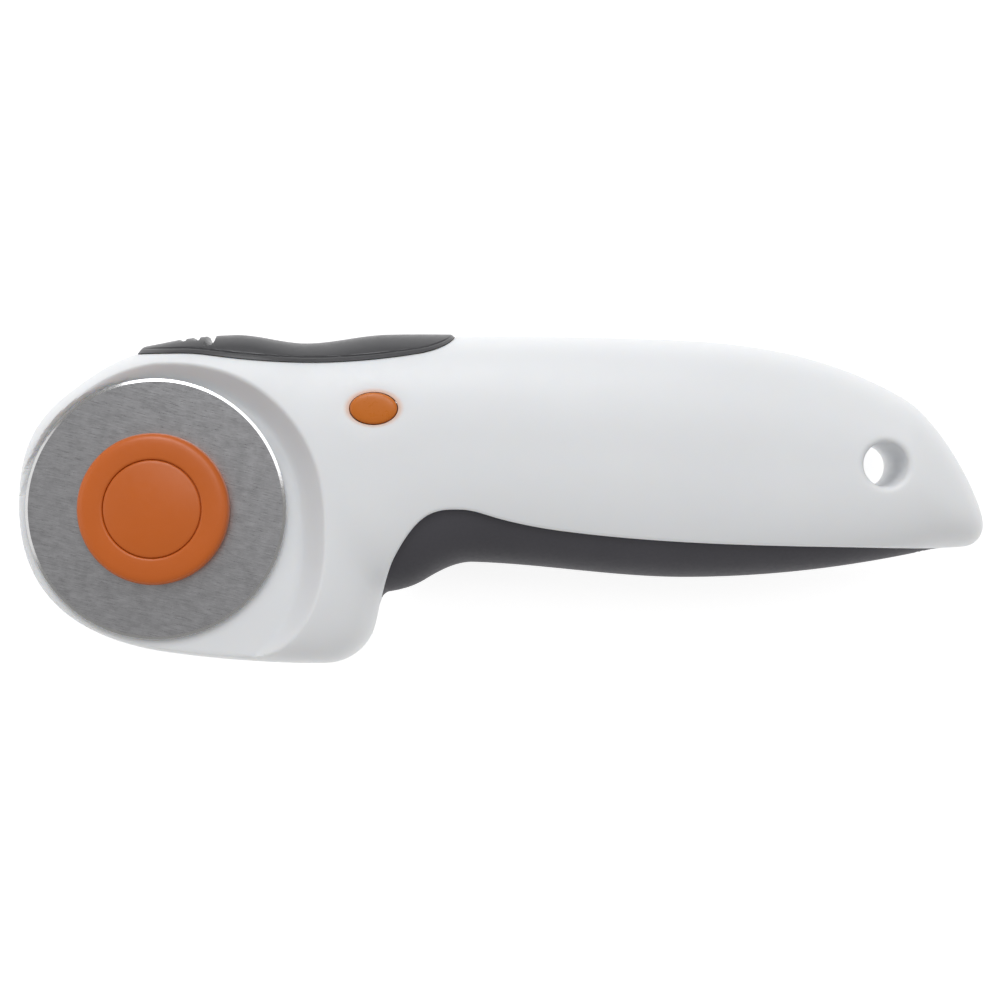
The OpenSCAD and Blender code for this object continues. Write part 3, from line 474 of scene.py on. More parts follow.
def solid_from(name, verts, tris, top, base, side):
    """Closed solid between a height field and a base height. side 1 faces +Z, -1 faces -Z."""
    count = {}
    for t in tris:
        for a, b in ((t[0], t[1]), (t[1], t[2]), (t[2], t[0])):
            count[(a, b)] = count.get((a, b), 0) + 1
    rim = [(a, b) for (a, b) in count if (b, a) not in count]
    n = len(verts)
    co = np.concatenate([np.column_stack([verts, top]), np.column_stack([verts, np.full(n, base)])])
    shared = np.abs(top - base) < 1e-6
    low = np.where(shared, np.arange(n), np.arange(n) + n)
    faces = [tuple(t) for t in tris]
    faces += [tuple(low[t][::-1]) for t in tris]
    for a, b in rim:
        ring = [b, a, low[a], low[b]]
        ring = [v for i, v in enumerate(ring) if v not in ring[:i]]
        if len(ring) > 2:
            faces.append(tuple(ring))
    if side < 0:
        faces = [f[::-1] for f in faces]
    return mesh_object(name, co, faces)


# ---------------------------------------------------- small modelling helpers
def only(obj):
    bpy.ops.object.select_all(action="DESELECT")
    obj.select_set(True)
    bpy.context.view_layer.objects.active = obj


def settle(obj):
    """Puts the object's place into its mesh."""
    only(obj)
    bpy.ops.object.transform_apply(location=True, rotation=True, scale=True)
    return obj


def cylinder(name, at, r, z0, z1, n=64):
    bpy.ops.object.select_all(action="DESELECT")
    bpy.ops.mesh.primitive_cylinder_add(vertices=n, radius=r * MM, depth=(z1 - z0) * MM,
                                        location=(at[0] * MM, at[1] * MM, (z0 + z1) / 2 * MM))
    obj = bpy.context.active_object
    obj.name = name
    return settle(obj)


def prism(name, loop, z0, z1):
    """Upright block with the given outline."""
    n = len(loop)
    co = [(*p, z0) for p in loop] + [(*p, z1) for p in loop]
    faces = [tuple(range(n)), tuple(range(n, 2 * n))]
    faces += [(i, (i + 1) % n, (i + 1) % n + n, i + n) for i in range(n)]
    return mesh_object(name, co, faces)


def slot_loop(a, b, r, n=16):
    h = math.degrees(math.atan2(b[1] - a[1], b[0] - a[0]))
    return np.array([b + r * heading(h - 90 + 180 * i / n) for i in range(n + 1)]
                    + [a + r * heading(h + 90 + 180 * i / n) for i in range(n + 1)])


def cut_away(obj, tools, operation="DIFFERENCE"):
    """Boolean with each tool in turn; the tools are used up."""
    for tool in tools:
        m = obj.modifiers.new("cut", "BOOLEAN")
        m.operation = operation
        m.solver = "EXACT"
        m.object = tool
        only(obj)
        bpy.ops.object.modifier_apply(modifier=m.name)
        bpy.data.objects.remove(tool)
    return obj


def smooth(obj, angle=32):
    only(obj)
    bpy.ops.object.shade_smooth_by_angle(angle=math.radians(angle))


def turned(name, at, profile, n=128):
    """Turned piece: a circle drawn out ring by ring along the profile (r, z).
    A profile that starts and ends on the axis is closed there; otherwise it closes on itself."""
    bpy.ops.object.select_all(action="DESELECT")
    on_axis = profile[0][0] == 0
    ring = [p for p in profile if p[0] > 0]
    x, y = at[0] * MM, at[1] * MM
    bpy.ops.mesh.primitive_circle_add(vertices=n, radius=ring[0][0] * MM, location=(x, y, ring[0][1] * MM))
    obj = bpy.context.active_object
    obj.name = name
    settle(obj)
    bpy.ops.object.mode_set(mode="EDIT")
    bpy.ops.mesh.select_all(action="SELECT")
    steps = ring if on_axis else ring + [ring[0]]
    if on_axis:
        bpy.ops.mesh.edge_face_add()
        if profile[0][1] != ring[0][1]:
            bpy.ops.mesh.poke()
        bpy.ops.mesh.select_all(action="DESELECT")
        bpy.ops.object.mode_set(mode="OBJECT")
        for v in obj.data.vertices:
            v.select = v.index < n
        for e in obj.data.edges:
            e.select = all(i < n for i in e.vertices)
        bpy.ops.object.mode_set(mode="EDIT")
    for (r0, z0), (r1, z1) in zip(steps, steps[1:]):
        bpy.ops.mesh.extrude_edges_move(TRANSFORM_OT_translate={"value": (0, 0, (z1 - z0) * MM)})
        if r0 != r1:
            bpy.ops.transform.resize(value=(r1 / r0, r1 / r0, 1), center_override=(x, y, z1 * MM))
    if on_axis:
        bpy.ops.mesh.edge_face_add()
        if profile[-1][1] != ring[-1][1]:
            bpy.ops.mesh.poke()
    bpy.ops.mesh.select_all(action="SELECT")
    bpy.ops.mesh.remove_doubles(threshold=1e-7)
    bpy.ops.mesh.normals_make_consistent(inside=False)
    bpy.ops.object.mode_set(mode="OBJECT")
    for v in obj.data.vertices:
        if on_axis and math.hypot(v.co.x - x, v.co.y - y) < 1e-6:
            v.co.z = (profile[0][1] if abs(v.co.z - ring[0][1] * MM) < abs(v.co.z - ring[-1][1] * MM)
                      else profile[-1][1]) * MM
    return obj


# ---------------------------------------------------------------------- materials
def material(name, colour, rough, metal=0.0):
    mat = bpy.data.materials.new(name)
    mat.use_nodes = True
    tree = mat.node_tree
    shader = tree.nodes["Principled BSDF"]
    shader.inputs["Base Color"].default_value = (*colour, 1)
    shader.inputs["Roughness"].default_value = rough
    shader.inputs["Metallic"].default_value = metal
    return mat, tree, shader


def node(tree, kind, **inputs):
    n = tree.nodes.new(kind)
    for key, value in inputs.items():
        n.inputs[key.replace("_", " ")].default_value = value
    return n


def grain(tree, source, scale, stretch=(1, 1, 1), turn=0.0, detail=4.0, rough=0.6):
    """Noise over the object's own coordinates, stretched and turned."""
    place = tree.nodes.new("ShaderNodeMapping")
    place.vector_type = "TEXTURE"
    place.inputs["Scale"].default_value = [1 / v for v in stretch]
    place.inputs["Rotation"].default_value = (0, 0, turn)
    tree.links.new(source, place.inputs["Vector"])
    noise = node(tree, "ShaderNodeTexNoise", Scale=scale, Detail=detail, Roughness=rough)
    tree.links.new(place.outputs["Vector"], noise.inputs["Vector"])
    return noise.outputs["Fac"]


def ramp(tree, source, low, high, colour_low, colour_high):
    r = tree.nodes.new("ShaderNodeValToRGB")
    r.color_ramp.elements[0].position = low
    r.color_ramp.elements[1].position = high
    r.color_ramp.elements[0].color = (*colour_low, 1)
    r.color_ramp.elements[1].color = (*colour_high, 1)
    tree.links.new(source, r.inputs["Fac"])
    return r.outputs["Color"]


def spread(tree, source, low, high):
    r = node(tree, "ShaderNodeMapRange")
    r.inputs["From Min"].default_value = 0.3
    r.inputs["From Max"].default_value = 0.7
    r.inputs["To Min"].default_value = low
    r.inputs["To Max"].default_value = high
    tree.links.new(source, r.inputs["Value"])
    return r.outputs["Result"]


def bump(tree, shader, source, strength, distance):
    b = node(tree, "ShaderNodeBump", Strength=strength, Distance=distance)
    tree.links.new(source, b.inputs["Height"])
    tree.links.new(b.outputs["Normal"], shader.inputs["Normal"])


def moulded(name, colour, rough, shade=0.03, tooth=0.15, scale=900.0):
    """Moulded plastic: slight cloudiness, and a fine spark-eroded tooth in roughness and bump."""
    mat, tree, shader = material(name, colour, rough)
    where = tree.nodes.new("ShaderNodeTexCoord").outputs["Object"]
    cloud = grain(tree, where, 35.0, detail=3.0)
    tint = tuple(c * (1 - shade) for c in colour)
    bright = tuple(min(c * (1 + shade), 1) for c in colour)
    tree.links.new(ramp(tree, cloud, 0.35, 0.65, tint, bright), shader.inputs["Base Color"])
    fine = grain(tree, where, scale, detail=2.0)
    tree.links.new(spread(tree, fine, rough - 0.05, rough + 0.06), shader.inputs["Roughness"])
    bump(tree, shader, fine, tooth, 0.00004)
    return mat


def brushed(name, colour, rough, turn, dark=0.75, tooth=0.3):
    """Steel brushed one way: long fine scratches with a mottled tone."""
    mat, tree, shader = material(name, colour, rough, metal=1.0)
    where = tree.nodes.new("ShaderNodeTexCoord").outputs["Object"]
    streak = grain(tree, where, 420.0, stretch=(1, 16, 16), turn=turn, detail=6.0, rough=0.8)
    mottle = grain(tree, where, 520.0, detail=5.0, rough=0.75)
    both = node(tree, "ShaderNodeMath")
    both.operation = "ADD"
    half = [node(tree, "ShaderNodeMath") for _ in range(2)]
    for h, src, w in zip(half, (streak, mottle), (0.62, 0.38)):
        h.operation = "MULTIPLY"
        h.inputs[1].default_value = w
        tree.links.new(src, h.inputs[0])
        tree.links.new(h.outputs[0], both.inputs[half.index(h)])
    low = tuple(c * dark for c in colour)
    tree.links.new(ramp(tree, both.outputs[0], 0.40, 0.60, low, colour), shader.inputs["Base Color"])
    tree.links.new(spread(tree, streak, rough - 0.06, rough + 0.08), shader.inputs["Roughness"])
    bump(tree, shader, streak, tooth, 0.00003)
    return mat


def painted_button_glow(mat):
    """Painted reflected light: a warm orange tint painted into the white plastic's colour round the lock
    button, standing in for the light that the translucent button throws on it.
    """
    tree = mat.node_tree
    shader = tree.nodes["Principled BSDF"]
    base = shader.inputs["Base Color"].links[0].from_socket
    where = tree.nodes.new("ShaderNodeTexCoord").outputs["Object"]
    place = tree.nodes.new("ShaderNodeMapping")
    place.vector_type = "TEXTURE"
    place.inputs["Location"].default_value = (LOCK_AT[0] * MM, (LOCK_AT[1] + 0.1) * MM, BODY_T * MM)
    place.inputs["Scale"].default_value = (LOCK_L / 2 * MM, LOCK_W / 2 * MM, 6 * MM)
    tree.links.new(where, place.inputs["Vector"])
    length = node(tree, "ShaderNodeVectorMath")
    length.operation = "LENGTH"
    tree.links.new(place.outputs["Vector"], length.inputs[0])
    fade = node(tree, "ShaderNodeMapRange")
    fade.interpolation_type = "SMOOTHERSTEP"
    for key, value in (("From Min", 1.0), ("From Max", 1.38), ("To Min", 0.62), ("To Max", 0.0)):
        fade.inputs[key].default_value = value
    tree.links.new(length.outputs["Value"], fade.inputs["Value"])
    mix = tree.nodes.new("ShaderNodeMix")
    mix.data_type = "RGBA"
    # colour of the painted glow: the button's orange light, painted into the base colour
    mix.inputs["B"].default_value = (0.86, 0.40, 0.18, 1)
    tree.links.new(fade.outputs["Result"], mix.inputs["Factor"])
    tree.links.new(base, mix.inputs["A"])
    tree.links.new(mix.outputs["Result"], shader.inputs["Base Color"])
    return mat


# white plastic, with painted orange light from the lock button round the button
WHITE = painted_button_glow(moulded("white_shell_plastic", (0.86, 0.87, 0.885), 0.40, shade=0.008, tooth=0.10))
white_shader = WHITE.node_tree.nodes["Principled BSDF"]
white_shader.inputs["Subsurface Weight"].default_value = 0.35
white_shader.inputs["Subsurface Radius"].default_value = (1.0, 0.85, 0.7)
white_shader.inputs["Subsurface Scale"].default_value = 0.003
ORANGE = moulded("orange_moulded_plastic", (0.60, 0.128, 0.012), 0.36, shade=0.04, tooth=0.12)
LOCK_ORANGE = moulded("translucent_orange_button", (0.64, 0.168, 0.012), 0.30, shade=0.05, tooth=0.10)
SLIDER_GREY = moulded("dark_grey_slider_plastic", (0.063, 0.063, 0.067), 0.33, shade=0.06, tooth=0.25)
RUBBER = moulded("soft_grip_rubber", (0.060, 0.058, 0.068), 0.60, shade=0.08, tooth=0.5, scale=1500.0)
NATURAL = moulded("natural_acetal", (0.62, 0.61, 0.56), 0.45, shade=0.03, tooth=0.12)
BLADE_STEEL = brushed("ground_blade_steel", (0.56, 0.56, 0.58), 0.30, math.radians(-14), dark=0.70,
                      tooth=0.35)
EDGE_STEEL = brushed("honed_edge_steel", (0.66, 0.66, 0.66), 0.14, math.radians(60), dark=0.9, tooth=0.1)
TURNED_STEEL = brushed("turned_steel", (0.55, 0.55, 0.57), 0.30, math.radians(90), dark=0.8, tooth=0.2)
ZINC = brushed("zinc_plated_screw", (0.47, 0.47, 0.49), 0.35, math.radians(40), dark=0.75, tooth=0.2)
SPRING = brushed("spring_wire", (0.42, 0.42, 0.43), 0.30, math.radians(0), dark=0.7, tooth=0.15)


def finish_piece(obj, mat, body, nodes):
    obj.data.materials.clear()
    obj.data.materials.append(mat)
    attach(obj, body)
    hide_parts(*nodes)
    return obj


# --------------------------------------------------------------------- shells
EDGE_RINGS = (0.04, 0.12, 0.25, 0.42, 0.65, 0.95, 1.3, 1.65, 2.0, 2.4, 2.9)
SPACING = 1.0
SEAM = 0.10
ROLL_TRACK, ROLL_GRIP, ROLL_HANG = 0.25, 0.45, 1.1
LOCK_DIP = 0.12


def roll(d, r):
    t = np.clip(r - d, 0, r)
    return r - np.sqrt(r * r - t * t)


def shell_loops(gap):
    """Outline of the white body without saddle and grip, moved in by gap."""
    loop = OUTLINE + RIB_WAY * (gap / RIB_LEAN)[:, None] if gap else OUTLINE
    whole, _ = splice(loop, track_line(gap))
    white, grip = splice(whole, grip_edge(gap))
    return white, grip


LIP_RINGS = (-4.7, -4.2, -3.7, -3.2, -2.7, -2.2, -1.8, -1.4, -1.1, -0.8, -0.55, -0.32, -0.12, 0.05, 0.22,
             0.45, 0.8)


def lip_lines():
    """Lines of mesh points along the cove and the lip of the blade recess."""
    lines = []
    for off in LIP_RINGS:
        for c, r in RECESS:
            ring = circle_loop(c, r + off, 460)
            lines.append(ring[np.abs(recess_distance(ring) - off) < 0.3])
    return lines


def rolled(z, p, loops):
    """Height z with its edges rolled over at the saddle, the grip and the hang hole."""
    z -= roll(loop_distance(p, loops["track"]), ROLL_TRACK)
    z -= roll(loop_distance(p, loops["grip"]), ROLL_GRIP)
    z -= roll(np.hypot(*(p - HANG_AT).T) - HANG_R, ROLL_HANG)
    return z


def front_height(p, loops):
    z = rolled(smooth_min(pillow(p, 1), recess_height(p), 0.6), p, loops)
    q = (p - LOCK_AT) / [LOCK_L / 2 + LOCK_GAP, LOCK_W / 2 + LOCK_GAP]
    away = np.clip((np.hypot(*q.T) - 1) * 3.0, 0, 9)
    z -= LOCK_DIP * np.exp(-(away / 1.2) ** 2)
    return z


def back_height(p, loops):
    return rolled(np.minimum(pillow(p, -1), PART_Z), p, loops)


def hollow_half(side):
    """The space inside one half, a wall's thickness in, with its bosses left standing."""
    white_in, _ = shell_loops(WALL)
    v, t = fill([white_in], 2.5, (0.15, 0.5, 1.2))
    inner = pillow(v, side, WALL)
    if side > 0:
        inner = np.minimum(inner, recess_height(v) - WALL)
    inner -= WALL * np.exp(-(np.clip(np.hypot(*((v - LOCK_AT) / [1.4, 1]).T) - 3, 0, 9) / 0.8) ** 2) * 0.3
    hollow = solid_from("hollow", v, t, PART_Z + side * np.maximum(inner, 0.3), PART_Z - side * 0.4, side)
    posts = [cylinder("post", b, BOSS_R, -PAST, BODY_T + PAST) for b in BOSSES]
    posts.append(cylinder("post", HANG_AT, HANG_R + WALL, -PAST, BODY_T + PAST, 96))
    if side < 0:
        posts += [cylinder("post", g, BOSS_R, -PAST, PART_Z + 0.3) for g in GUIDES]
        posts.append(cylinder("post", LOCK_AT, LOCK_REAR_BOSS_R, -PAST, 6))
    else:
        posts.append(cylinder("post", LOCK_AT, LOCK_BOSS_R, LOCK_BOSS_Z, BODY_T))
    return cut_away(hollow, posts)


def shell_cutters(side):
    """What is cut out of one half: its slit for the slider's tab, hub slot, screw seats and bores."""
    foot_low, foot_high = node_box("slider_foot")
    slit = np.array([[TAB_X0 - 9.2, TRACK_LOW_Y - 5], [TAB_X0 + 13.2, TRACK_LOW_Y - 5],
                     [TAB_X0 + 13.2, TRACK_LOW_Y + 2], [TAB_X0 - 9.2, TRACK_LOW_Y + 2]])
    cutters = [prism("slit", slit, foot_low[2] - 0.3, foot_high[2] + 0.3)]
    if side > 0:
        centre = np.array([BX, BY])
        under = FLOOR_Z - WALL - 1
        hub_slot = slot_loop(centre - 0.6 * SLIDE_DIR, centre + (TRAVEL + 0.6) * SLIDE_DIR, HUB_SLOT_R)
        cutters.append(prism("hub_slot", hub_slot, under, FLOOR_Z + 1))
        for g in GUIDES:
            cutters.append(cylinder("seat", g, SCREW_HEAD_R, FLOOR_Z - GUIDE_SEAT_DEPTH, FLOOR_Z + 1))
            cutters.append(cylinder("bore", g, SCREW_BORE_R, under, FLOOR_Z - GUIDE_SEAT_DEPTH / 2))
        for b in BOSSES:
            cutters.append(cylinder("bore", b, SCREW_BORE_R, PART_Z - 1, BODY_T - 4))
    else:
        for b in BOSSES:
            cutters.append(cylinder("seat", b, SCREW_HEAD_R, -1, SCREW_SEAT_Z))
            cutters.append(cylinder("bore", b, SCREW_BORE_R, 3, PART_Z + 1))
        for g in GUIDES:
            cutters.append(cylinder("bore", g, SCREW_BORE_R, 8, PART_Z + PAST))
    return cutters


def half_shell(side):
    """One half of the body: outer skin, hollow inside, holes and slots."""
    white, _ = shell_loops(0)
    hang = circle_loop(HANG_AT, HANG_R, 96)
    lock = oval_loop(LOCK_AT, LOCK_L, LOCK_W, LOCK_GAP)
    lines = {"track": track_line(0), "grip": grip_edge(0)}
    verts, tris = fill([white, hang, lock], SPACING, EDGE_RINGS, lip_lines() if side > 0 else [])
    height = front_height if side > 0 else back_height
    top = PART_Z + side * np.maximum(height(verts, lines), SEAM)
    skin = solid_from("skin", verts, tris, top, PART_Z, side)
    cut_away(skin, [hollow_half(side), *shell_cutters(side)])
    smooth(skin, 36)
    return skin


# ------------------------------------------------------------------ soft grip
def make_grip():
    """Rubber belly: stepped in from the shells, rolled over at the outline."""
    _, grip = shell_loops(0)
    squeeze = (PART_Z - GRIP_STEP) / PART_Z
    verts, tris = fill([grip], 0.9, EDGE_RINGS)
    halves = []
    for side in (1, -1):
        rise = np.minimum(pillow(verts, side), PART_Z) * squeeze
        halves.append(solid_from("half", verts, tris, PART_Z + side * rise, PART_Z, side))
    obj = cut_away(halves[0], [halves[1]], "UNION")
    smooth(obj, 40)
    obj.name = "soft_grip_rubber"
    return obj


# --------------------------------------------------------------------- slider
SLIDER_NOSE_X = SLIDER_FRONT_X + 0.05
SLIDER_KNOTS = [(SLIDER_FRONT_X, LIP_Y + 1.4, 0.30), (SLIDER_FRONT_X + 4.4, TOP_Y - 0.95, 0.22),
                (SLIDER_FRONT_X + 16.5, TOP_Y + 0.4, 0.03), (SLIDER_FRONT_X + 29, TOP_Y - 1, 0.01),
                (SLIDER_FRONT_X + 43, TOP_Y + 0.55, 0.03), (SLIDER_REAR_X + 1, TOP_Y + 0.6, 0)]
# Grip notches: place, half width, depth, and how far each side of the middle it runs
NOTCHES = [(SLIDER_FRONT_X + 7.7, 0.72, 0.62, 4.6), (SLIDER_FRONT_X + 10.1, 0.74, 0.72, 5.0),
           (SLIDER_FRONT_X + 12.7, 0.95, 1.25, 6.4)]
NOSE_ROUND, END_ROUND = 0.9, 0.7
END_FINE = 1.6
LIP_LINE_Y = 0.85
LIP_LINE_W, LIP_LINE_DEPTH = 0.13, 0.22


def under_slider(xs):
    """Underside of the slider, just clear of the saddle."""
    line = track_line(-SLIDER_GAP * 0.6)
    return np.interp(xs, line[:-2, 0], line[:-2, 1])


def notch_depth(x, z):
    """Depth of the grip notches at a place on the slider's top; each one ends in a round."""
    cut = 0.0
    for c, half, depth, run in NOTCHES:
        past = max(abs(z - PART_Z) - run, 0) / (half * 1.2)
        away = abs(x - c) / half
        if past < 1 and away < 1:
            cut = max(cut, depth * math.sqrt(1 - past * past) * math.cos(away * math.pi / 2) ** 0.8)
    return cut


def fall(share, power):
    """Share of the crown's height lost at a share of the way from its top line to its edge."""
    return 1 - (1 - share ** power) ** (1 / power)


def make_slider():
    """Thumb slider: a crowned pad over the saddle, with grip notches and a lip along its lower edge."""
    end_x = SLIDER_REAR_X - 0.12
    xs = np.unique(np.concatenate([
        np.linspace(SLIDER_NOSE_X, end_x, 210), SLIDER_NOSE_X + END_FINE * np.linspace(0, 1, 16) ** 2,
        end_x - END_FINE * np.linspace(0, 1, 16) ** 2,
        *[c + half * np.linspace(-1.1, 1.1, 23) for c, half, _, _ in NOTCHES]]))
    low = under_slider(xs)
    flush = {side: pillow(np.stack([xs, low - 0.12], 1), side) for side in (1, -1)}
    n = 64
    spots = np.sin(math.pi / 2 * np.arange(-n, n + 1) / n)
    grid = []
    for i, (x, y_low) in enumerate(zip(xs, low)):
        from_nose, from_end = (x - SLIDER_NOSE_X) / NOSE_ROUND, (end_x - x) / END_ROUND
        y_top = knot_y(SLIDER_KNOTS, x)
        for reach in (from_nose, from_end):
            if reach < 1:
                y_top = y_low + (y_top - y_low) * (0.05 + 0.95 * math.sqrt(1 - (1 - reach) ** 2))
        power = float(section_power(np.array(x)))
        line = []
        for w in spots:
            side = 1 if w > 0 else -1
            rise = float(front_rise(x) if w > 0 else back_rise(np.array(x)))
            edge = min(flush[side][i] / rise + 0.008, 0.97)
            drop = fall(abs(w) * edge, power) / fall(edge, power)
            y = y_top - (y_top - y_low) * drop
            z = PART_Z + w * edge * rise
            groove = math.exp(-((y - y_low - LIP_LINE_Y) / LIP_LINE_W) ** 2)
            groove *= min(max((y_top - y_low - 1.4) * 2, 0), 1)
            line.append((x, max(y - notch_depth(x, z), y_low),
                         z - side * LIP_LINE_DEPTH * groove * min(abs(w) * 3, 1)))
        grid.append(line)
    top_grid = np.array(grid)
    base_grid = top_grid.copy()
    base_grid[:, :, 1] = low[:, None] - 0.02
    rows, cols = top_grid.shape[:2]
    co = np.concatenate([top_grid.reshape(-1, 3), base_grid.reshape(-1, 3)])
    at = lambda i, k, s: s * rows * cols + i * cols + k
    faces = []
    for i in range(rows - 1):
        for k in range(cols - 1):
            faces.append((at(i, k, 0), at(i + 1, k, 0), at(i + 1, k + 1, 0), at(i, k + 1, 0)))
            faces.append((at(i, k + 1, 1), at(i + 1, k + 1, 1), at(i + 1, k, 1), at(i, k, 1)))
    for i in range(rows - 1):
        faces.append((at(i, 0, 0), at(i, 0, 1), at(i + 1, 0, 1), at(i + 1, 0, 0)))
        faces.append((at(i, cols - 1, 1), at(i, cols - 1, 0), at(i + 1, cols - 1, 0), at(i + 1, cols - 1, 1)))
    for k in range(cols - 1):
        faces.append((at(0, k, 0), at(0, k + 1, 0), at(0, k + 1, 1), at(0, k, 1)))
        faces.append((at(rows - 1, k + 1, 0), at(rows - 1, k, 0), at(rows - 1, k, 1), at(rows - 1, k + 1, 1)))
    obj = mesh_object("thumb_slider_pad", co, faces, "thumb_pad")
    foot = node_box("slider_foot")
    tab = np.array([[TAB_X0, TRACK_LOW_Y - 2.5], [TAB_X1, TRACK_LOW_Y - 2.5],
                    [TAB_X1, TRACK_LOW_Y + 1.4], [TAB_X0, TRACK_LOW_Y + 1.4]])
    cut_away(obj, [prism("tab", tab, foot[0][2], foot[1][2])], "UNION")
    smooth(obj, 38)
    return obj


# ------------------------------------------------------------- blade and hub
def make_blade():
    z0, z1 = BLADE_Z, BLADE_Z + BLADE_T
    mid = (z0 + z1) / 2
    bevel_w = 0.5
    profile = [(HUB_BORE_R, z0), (HUB_BORE_R + 0.06, z0), (BLADE_R - bevel_w, z0),
               (BLADE_R - 0.02, mid - 0.02), (BLADE_R, mid), (BLADE_R - 0.02, mid + 0.02),
               (BLADE_R - bevel_w, z1), (BLADE_R - bevel_w - 0.05, z1), (HUB_BORE_R + 0.06, z1),
               (HUB_BORE_R, z1)]
    obj = turned("round_blade", (BX, BY), profile, 256)
    obj.data.materials.append(BLADE_STEEL)
    obj.data.materials.append(EDGE_STEEL)
    for p in obj.data.polygons:
        c = p.center
        if math.hypot(c.x / MM - BX, c.y / MM - BY) > BLADE_R - bevel_w + 0.03:
            p.material_index = 1
    smooth(obj, 12)
    return obj


def make_cap():
    low, high = node_box("blade_cap")
    r = (high[0] - low[0]) / 2
    z0, z1 = low[2], high[2]
    button_low, button_high = node_box("release_button")
    button_r = (button_high[0] - button_low[0]) / 2
    b = button_r + 0.10
    profile = [(HUB_BORE_R, z0), (r - 0.5, z0), (r - 0.1, z0 + 0.25), (r, z0 + 0.8), (r, z1 - 1.3),
               (r - 0.10, z1 - 0.85), (r - 0.32, z1 - 0.48), (r - 0.68, z1 - 0.24), (r - 1.15, z1 - 0.12),
               (r - 1.8, z1 - 0.05), (r - 2.8, z1 - 0.02), (b + 0.5, z1), (b + 0.2, z1 - 0.04),
               (b + 0.05, z1 - 0.16), (b, z1 - 0.35), (b, z0 + 1.2), (HUB_BORE_R, z0 + 1.2)]
    obj = turned("blade_cap_ring", (BX, BY), profile, 192)
    smooth(obj, 40)
    return obj


def make_button():
    low, high = node_box("release_button")
    r = (high[0] - low[0]) / 2
    z1 = high[2]
    roof = z1 - 1.02
    skirt = FLOOR_Z + 4.1
    dome = 0.85
    # shallow spherical crown with a small edge radius, and a shoulder that closes the gap to the ring
    sphere = (r * r + dome * dome) / (2 * dome)
    crown = [(r * s, z1 - sphere + math.sqrt(sphere ** 2 - (r * s) ** 2))
             for s in np.linspace(0.975, 0.04, 20)]
    edge_z = crown[0][1]
    lip = [(r + 0.06, edge_z - 0.42), (r, edge_z - 0.40), (r - 0.02, edge_z - 0.22),
           (r - 0.09, edge_z - 0.06)]
    profile = [(0, low[2]), (1.0, low[2]), (1.2, low[2] + 0.2), (1.2, roof), (r - 1.2, roof),
               (r - 1.2, skirt), (r + 0.06, skirt), *lip, *crown, (0, z1)]
    obj = turned("release_button_dome", (BX, BY), profile, 160)
    smooth(obj, 50)
    return obj


def make_lock():
    low, high = node_box("lock_button")
    z1 = high[2]
    n = 96
    loops = []
    for grow, z in [(0.0, z1 - 3.4), (0.0, z1 - 0.55), (-0.06, z1 - 0.36), (-0.2, z1 - 0.2),
                    (-0.45, z1 - 0.1), (-1.0, z1 - 0.03), (-1.9, z1)]:
        loops.append([(*p, z) for p in oval_loop(LOCK_AT, LOCK_L, LOCK_W, grow, n)])
    co = [p for ring in loops for p in ring]
    faces = [tuple(range(n))[::-1], tuple(range((len(loops) - 1) * n, len(loops) * n))]
    for k in range(len(loops) - 1):
        faces += [(k * n + i, k * n + (i + 1) % n, (k + 1) * n + (i + 1) % n, (k + 1) * n + i)
                  for i in range(n)]
    obj = mesh_object("lock_button_oval", co, faces, "lock_head")
    foot_top = node_box("slider_foot")[1][2]
    cut_away(obj, [cylinder("neck", LOCK_AT, LOCK_NECK_R, low[2], z1 - 1.5, 48),
                   cylinder("collar", LOCK_AT, LOCK_COLLAR_R, foot_top + 0.25, foot_top + 2.65, 64)], "UNION")
    smooth(obj, 40)
    return obj


COIL_TURNS = 2.5
COIL_W = 0.8
COIL_T = 0.3


def make_coil():
    """Spring under the button, wound from flat wire."""
    low, high = node_box("button_spring")
    r = (high[0] - low[0]) / 2
    steps = 150
    co = []
    for k in range(steps + 1):
        a = 2 * math.pi * COIL_TURNS * k / steps
        z = low[2] + (high[2] - low[2] - COIL_T) * k / steps
        for reach, up in [(r - COIL_W, 0), (r, 0), (r, COIL_T), (r - COIL_W, COIL_T)]:
            co.append((BX + reach * math.cos(a), BY + reach * math.sin(a), z + up))
    faces = [(0, 1, 2, 3), tuple(4 * steps + i for i in (3, 2, 1, 0))]
    for k in range(steps):
        faces += [(4 * k + i, 4 * k + 4 + i, 4 * k + 4 + (i + 1) % 4, 4 * k + (i + 1) % 4)
                  for i in range(4)]
    obj = mesh_object("button_spring_coil", co, faces, "button_coil")
    smooth(obj, 40)
    return obj, low[2]


# ------------------------------------------------------------ the whole object
for side, half in ((1, "front_shell"), (-1, "rear_shell")):
    shell = finish_piece(half_shell(side), WHITE, "handle", [half])
    shell.name = half + "_moulded"
finish_piece(make_grip(), RUBBER, "handle", ["soft_grip"])
finish_piece(make_slider(), SLIDER_GREY, "thumb_slider", ["slider_cap"])
blade_piece = make_blade()
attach(blade_piece, "blade_set")
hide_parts("blade")
finish_piece(make_cap(), ORANGE, "blade_set", ["blade_cap"])
finish_piece(make_button(), ORANGE, "release", ["release_button"])
coil, coil_low = make_coil()
finish_piece(coil, SPRING, "hub", ["button_spring"])
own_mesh(coil)
finish_piece(make_lock(), LOCK_ORANGE, "lock_bolt", ["lock_button"])

CARRIED = {
    "shell_screws": ZINC, "guide_screws": ZINC, "slider_screw": ZINC, "guide_sleeves": TURNED_STEEL,
    "detent_spring": SPRING, "lock_spring": SPRING, "latch_clip": SPRING,
    "slider_foot": NATURAL, "carrier_plate": NATURAL, "hub_bushing": NATURAL, "drive_pin": TURNED_STEEL,
    "hub_post": TURNED_STEEL, "hub_nut": TURNED_STEEL, "backing_washer": TURNED_STEEL,
    "lock_rear_button": ORANGE,
}
for name, mat in CARRIED.items():
    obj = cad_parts[name]
    for s in obj.material_slots:
        s.material = mat
    if not obj.material_slots:
        obj.data.materials.append(mat)


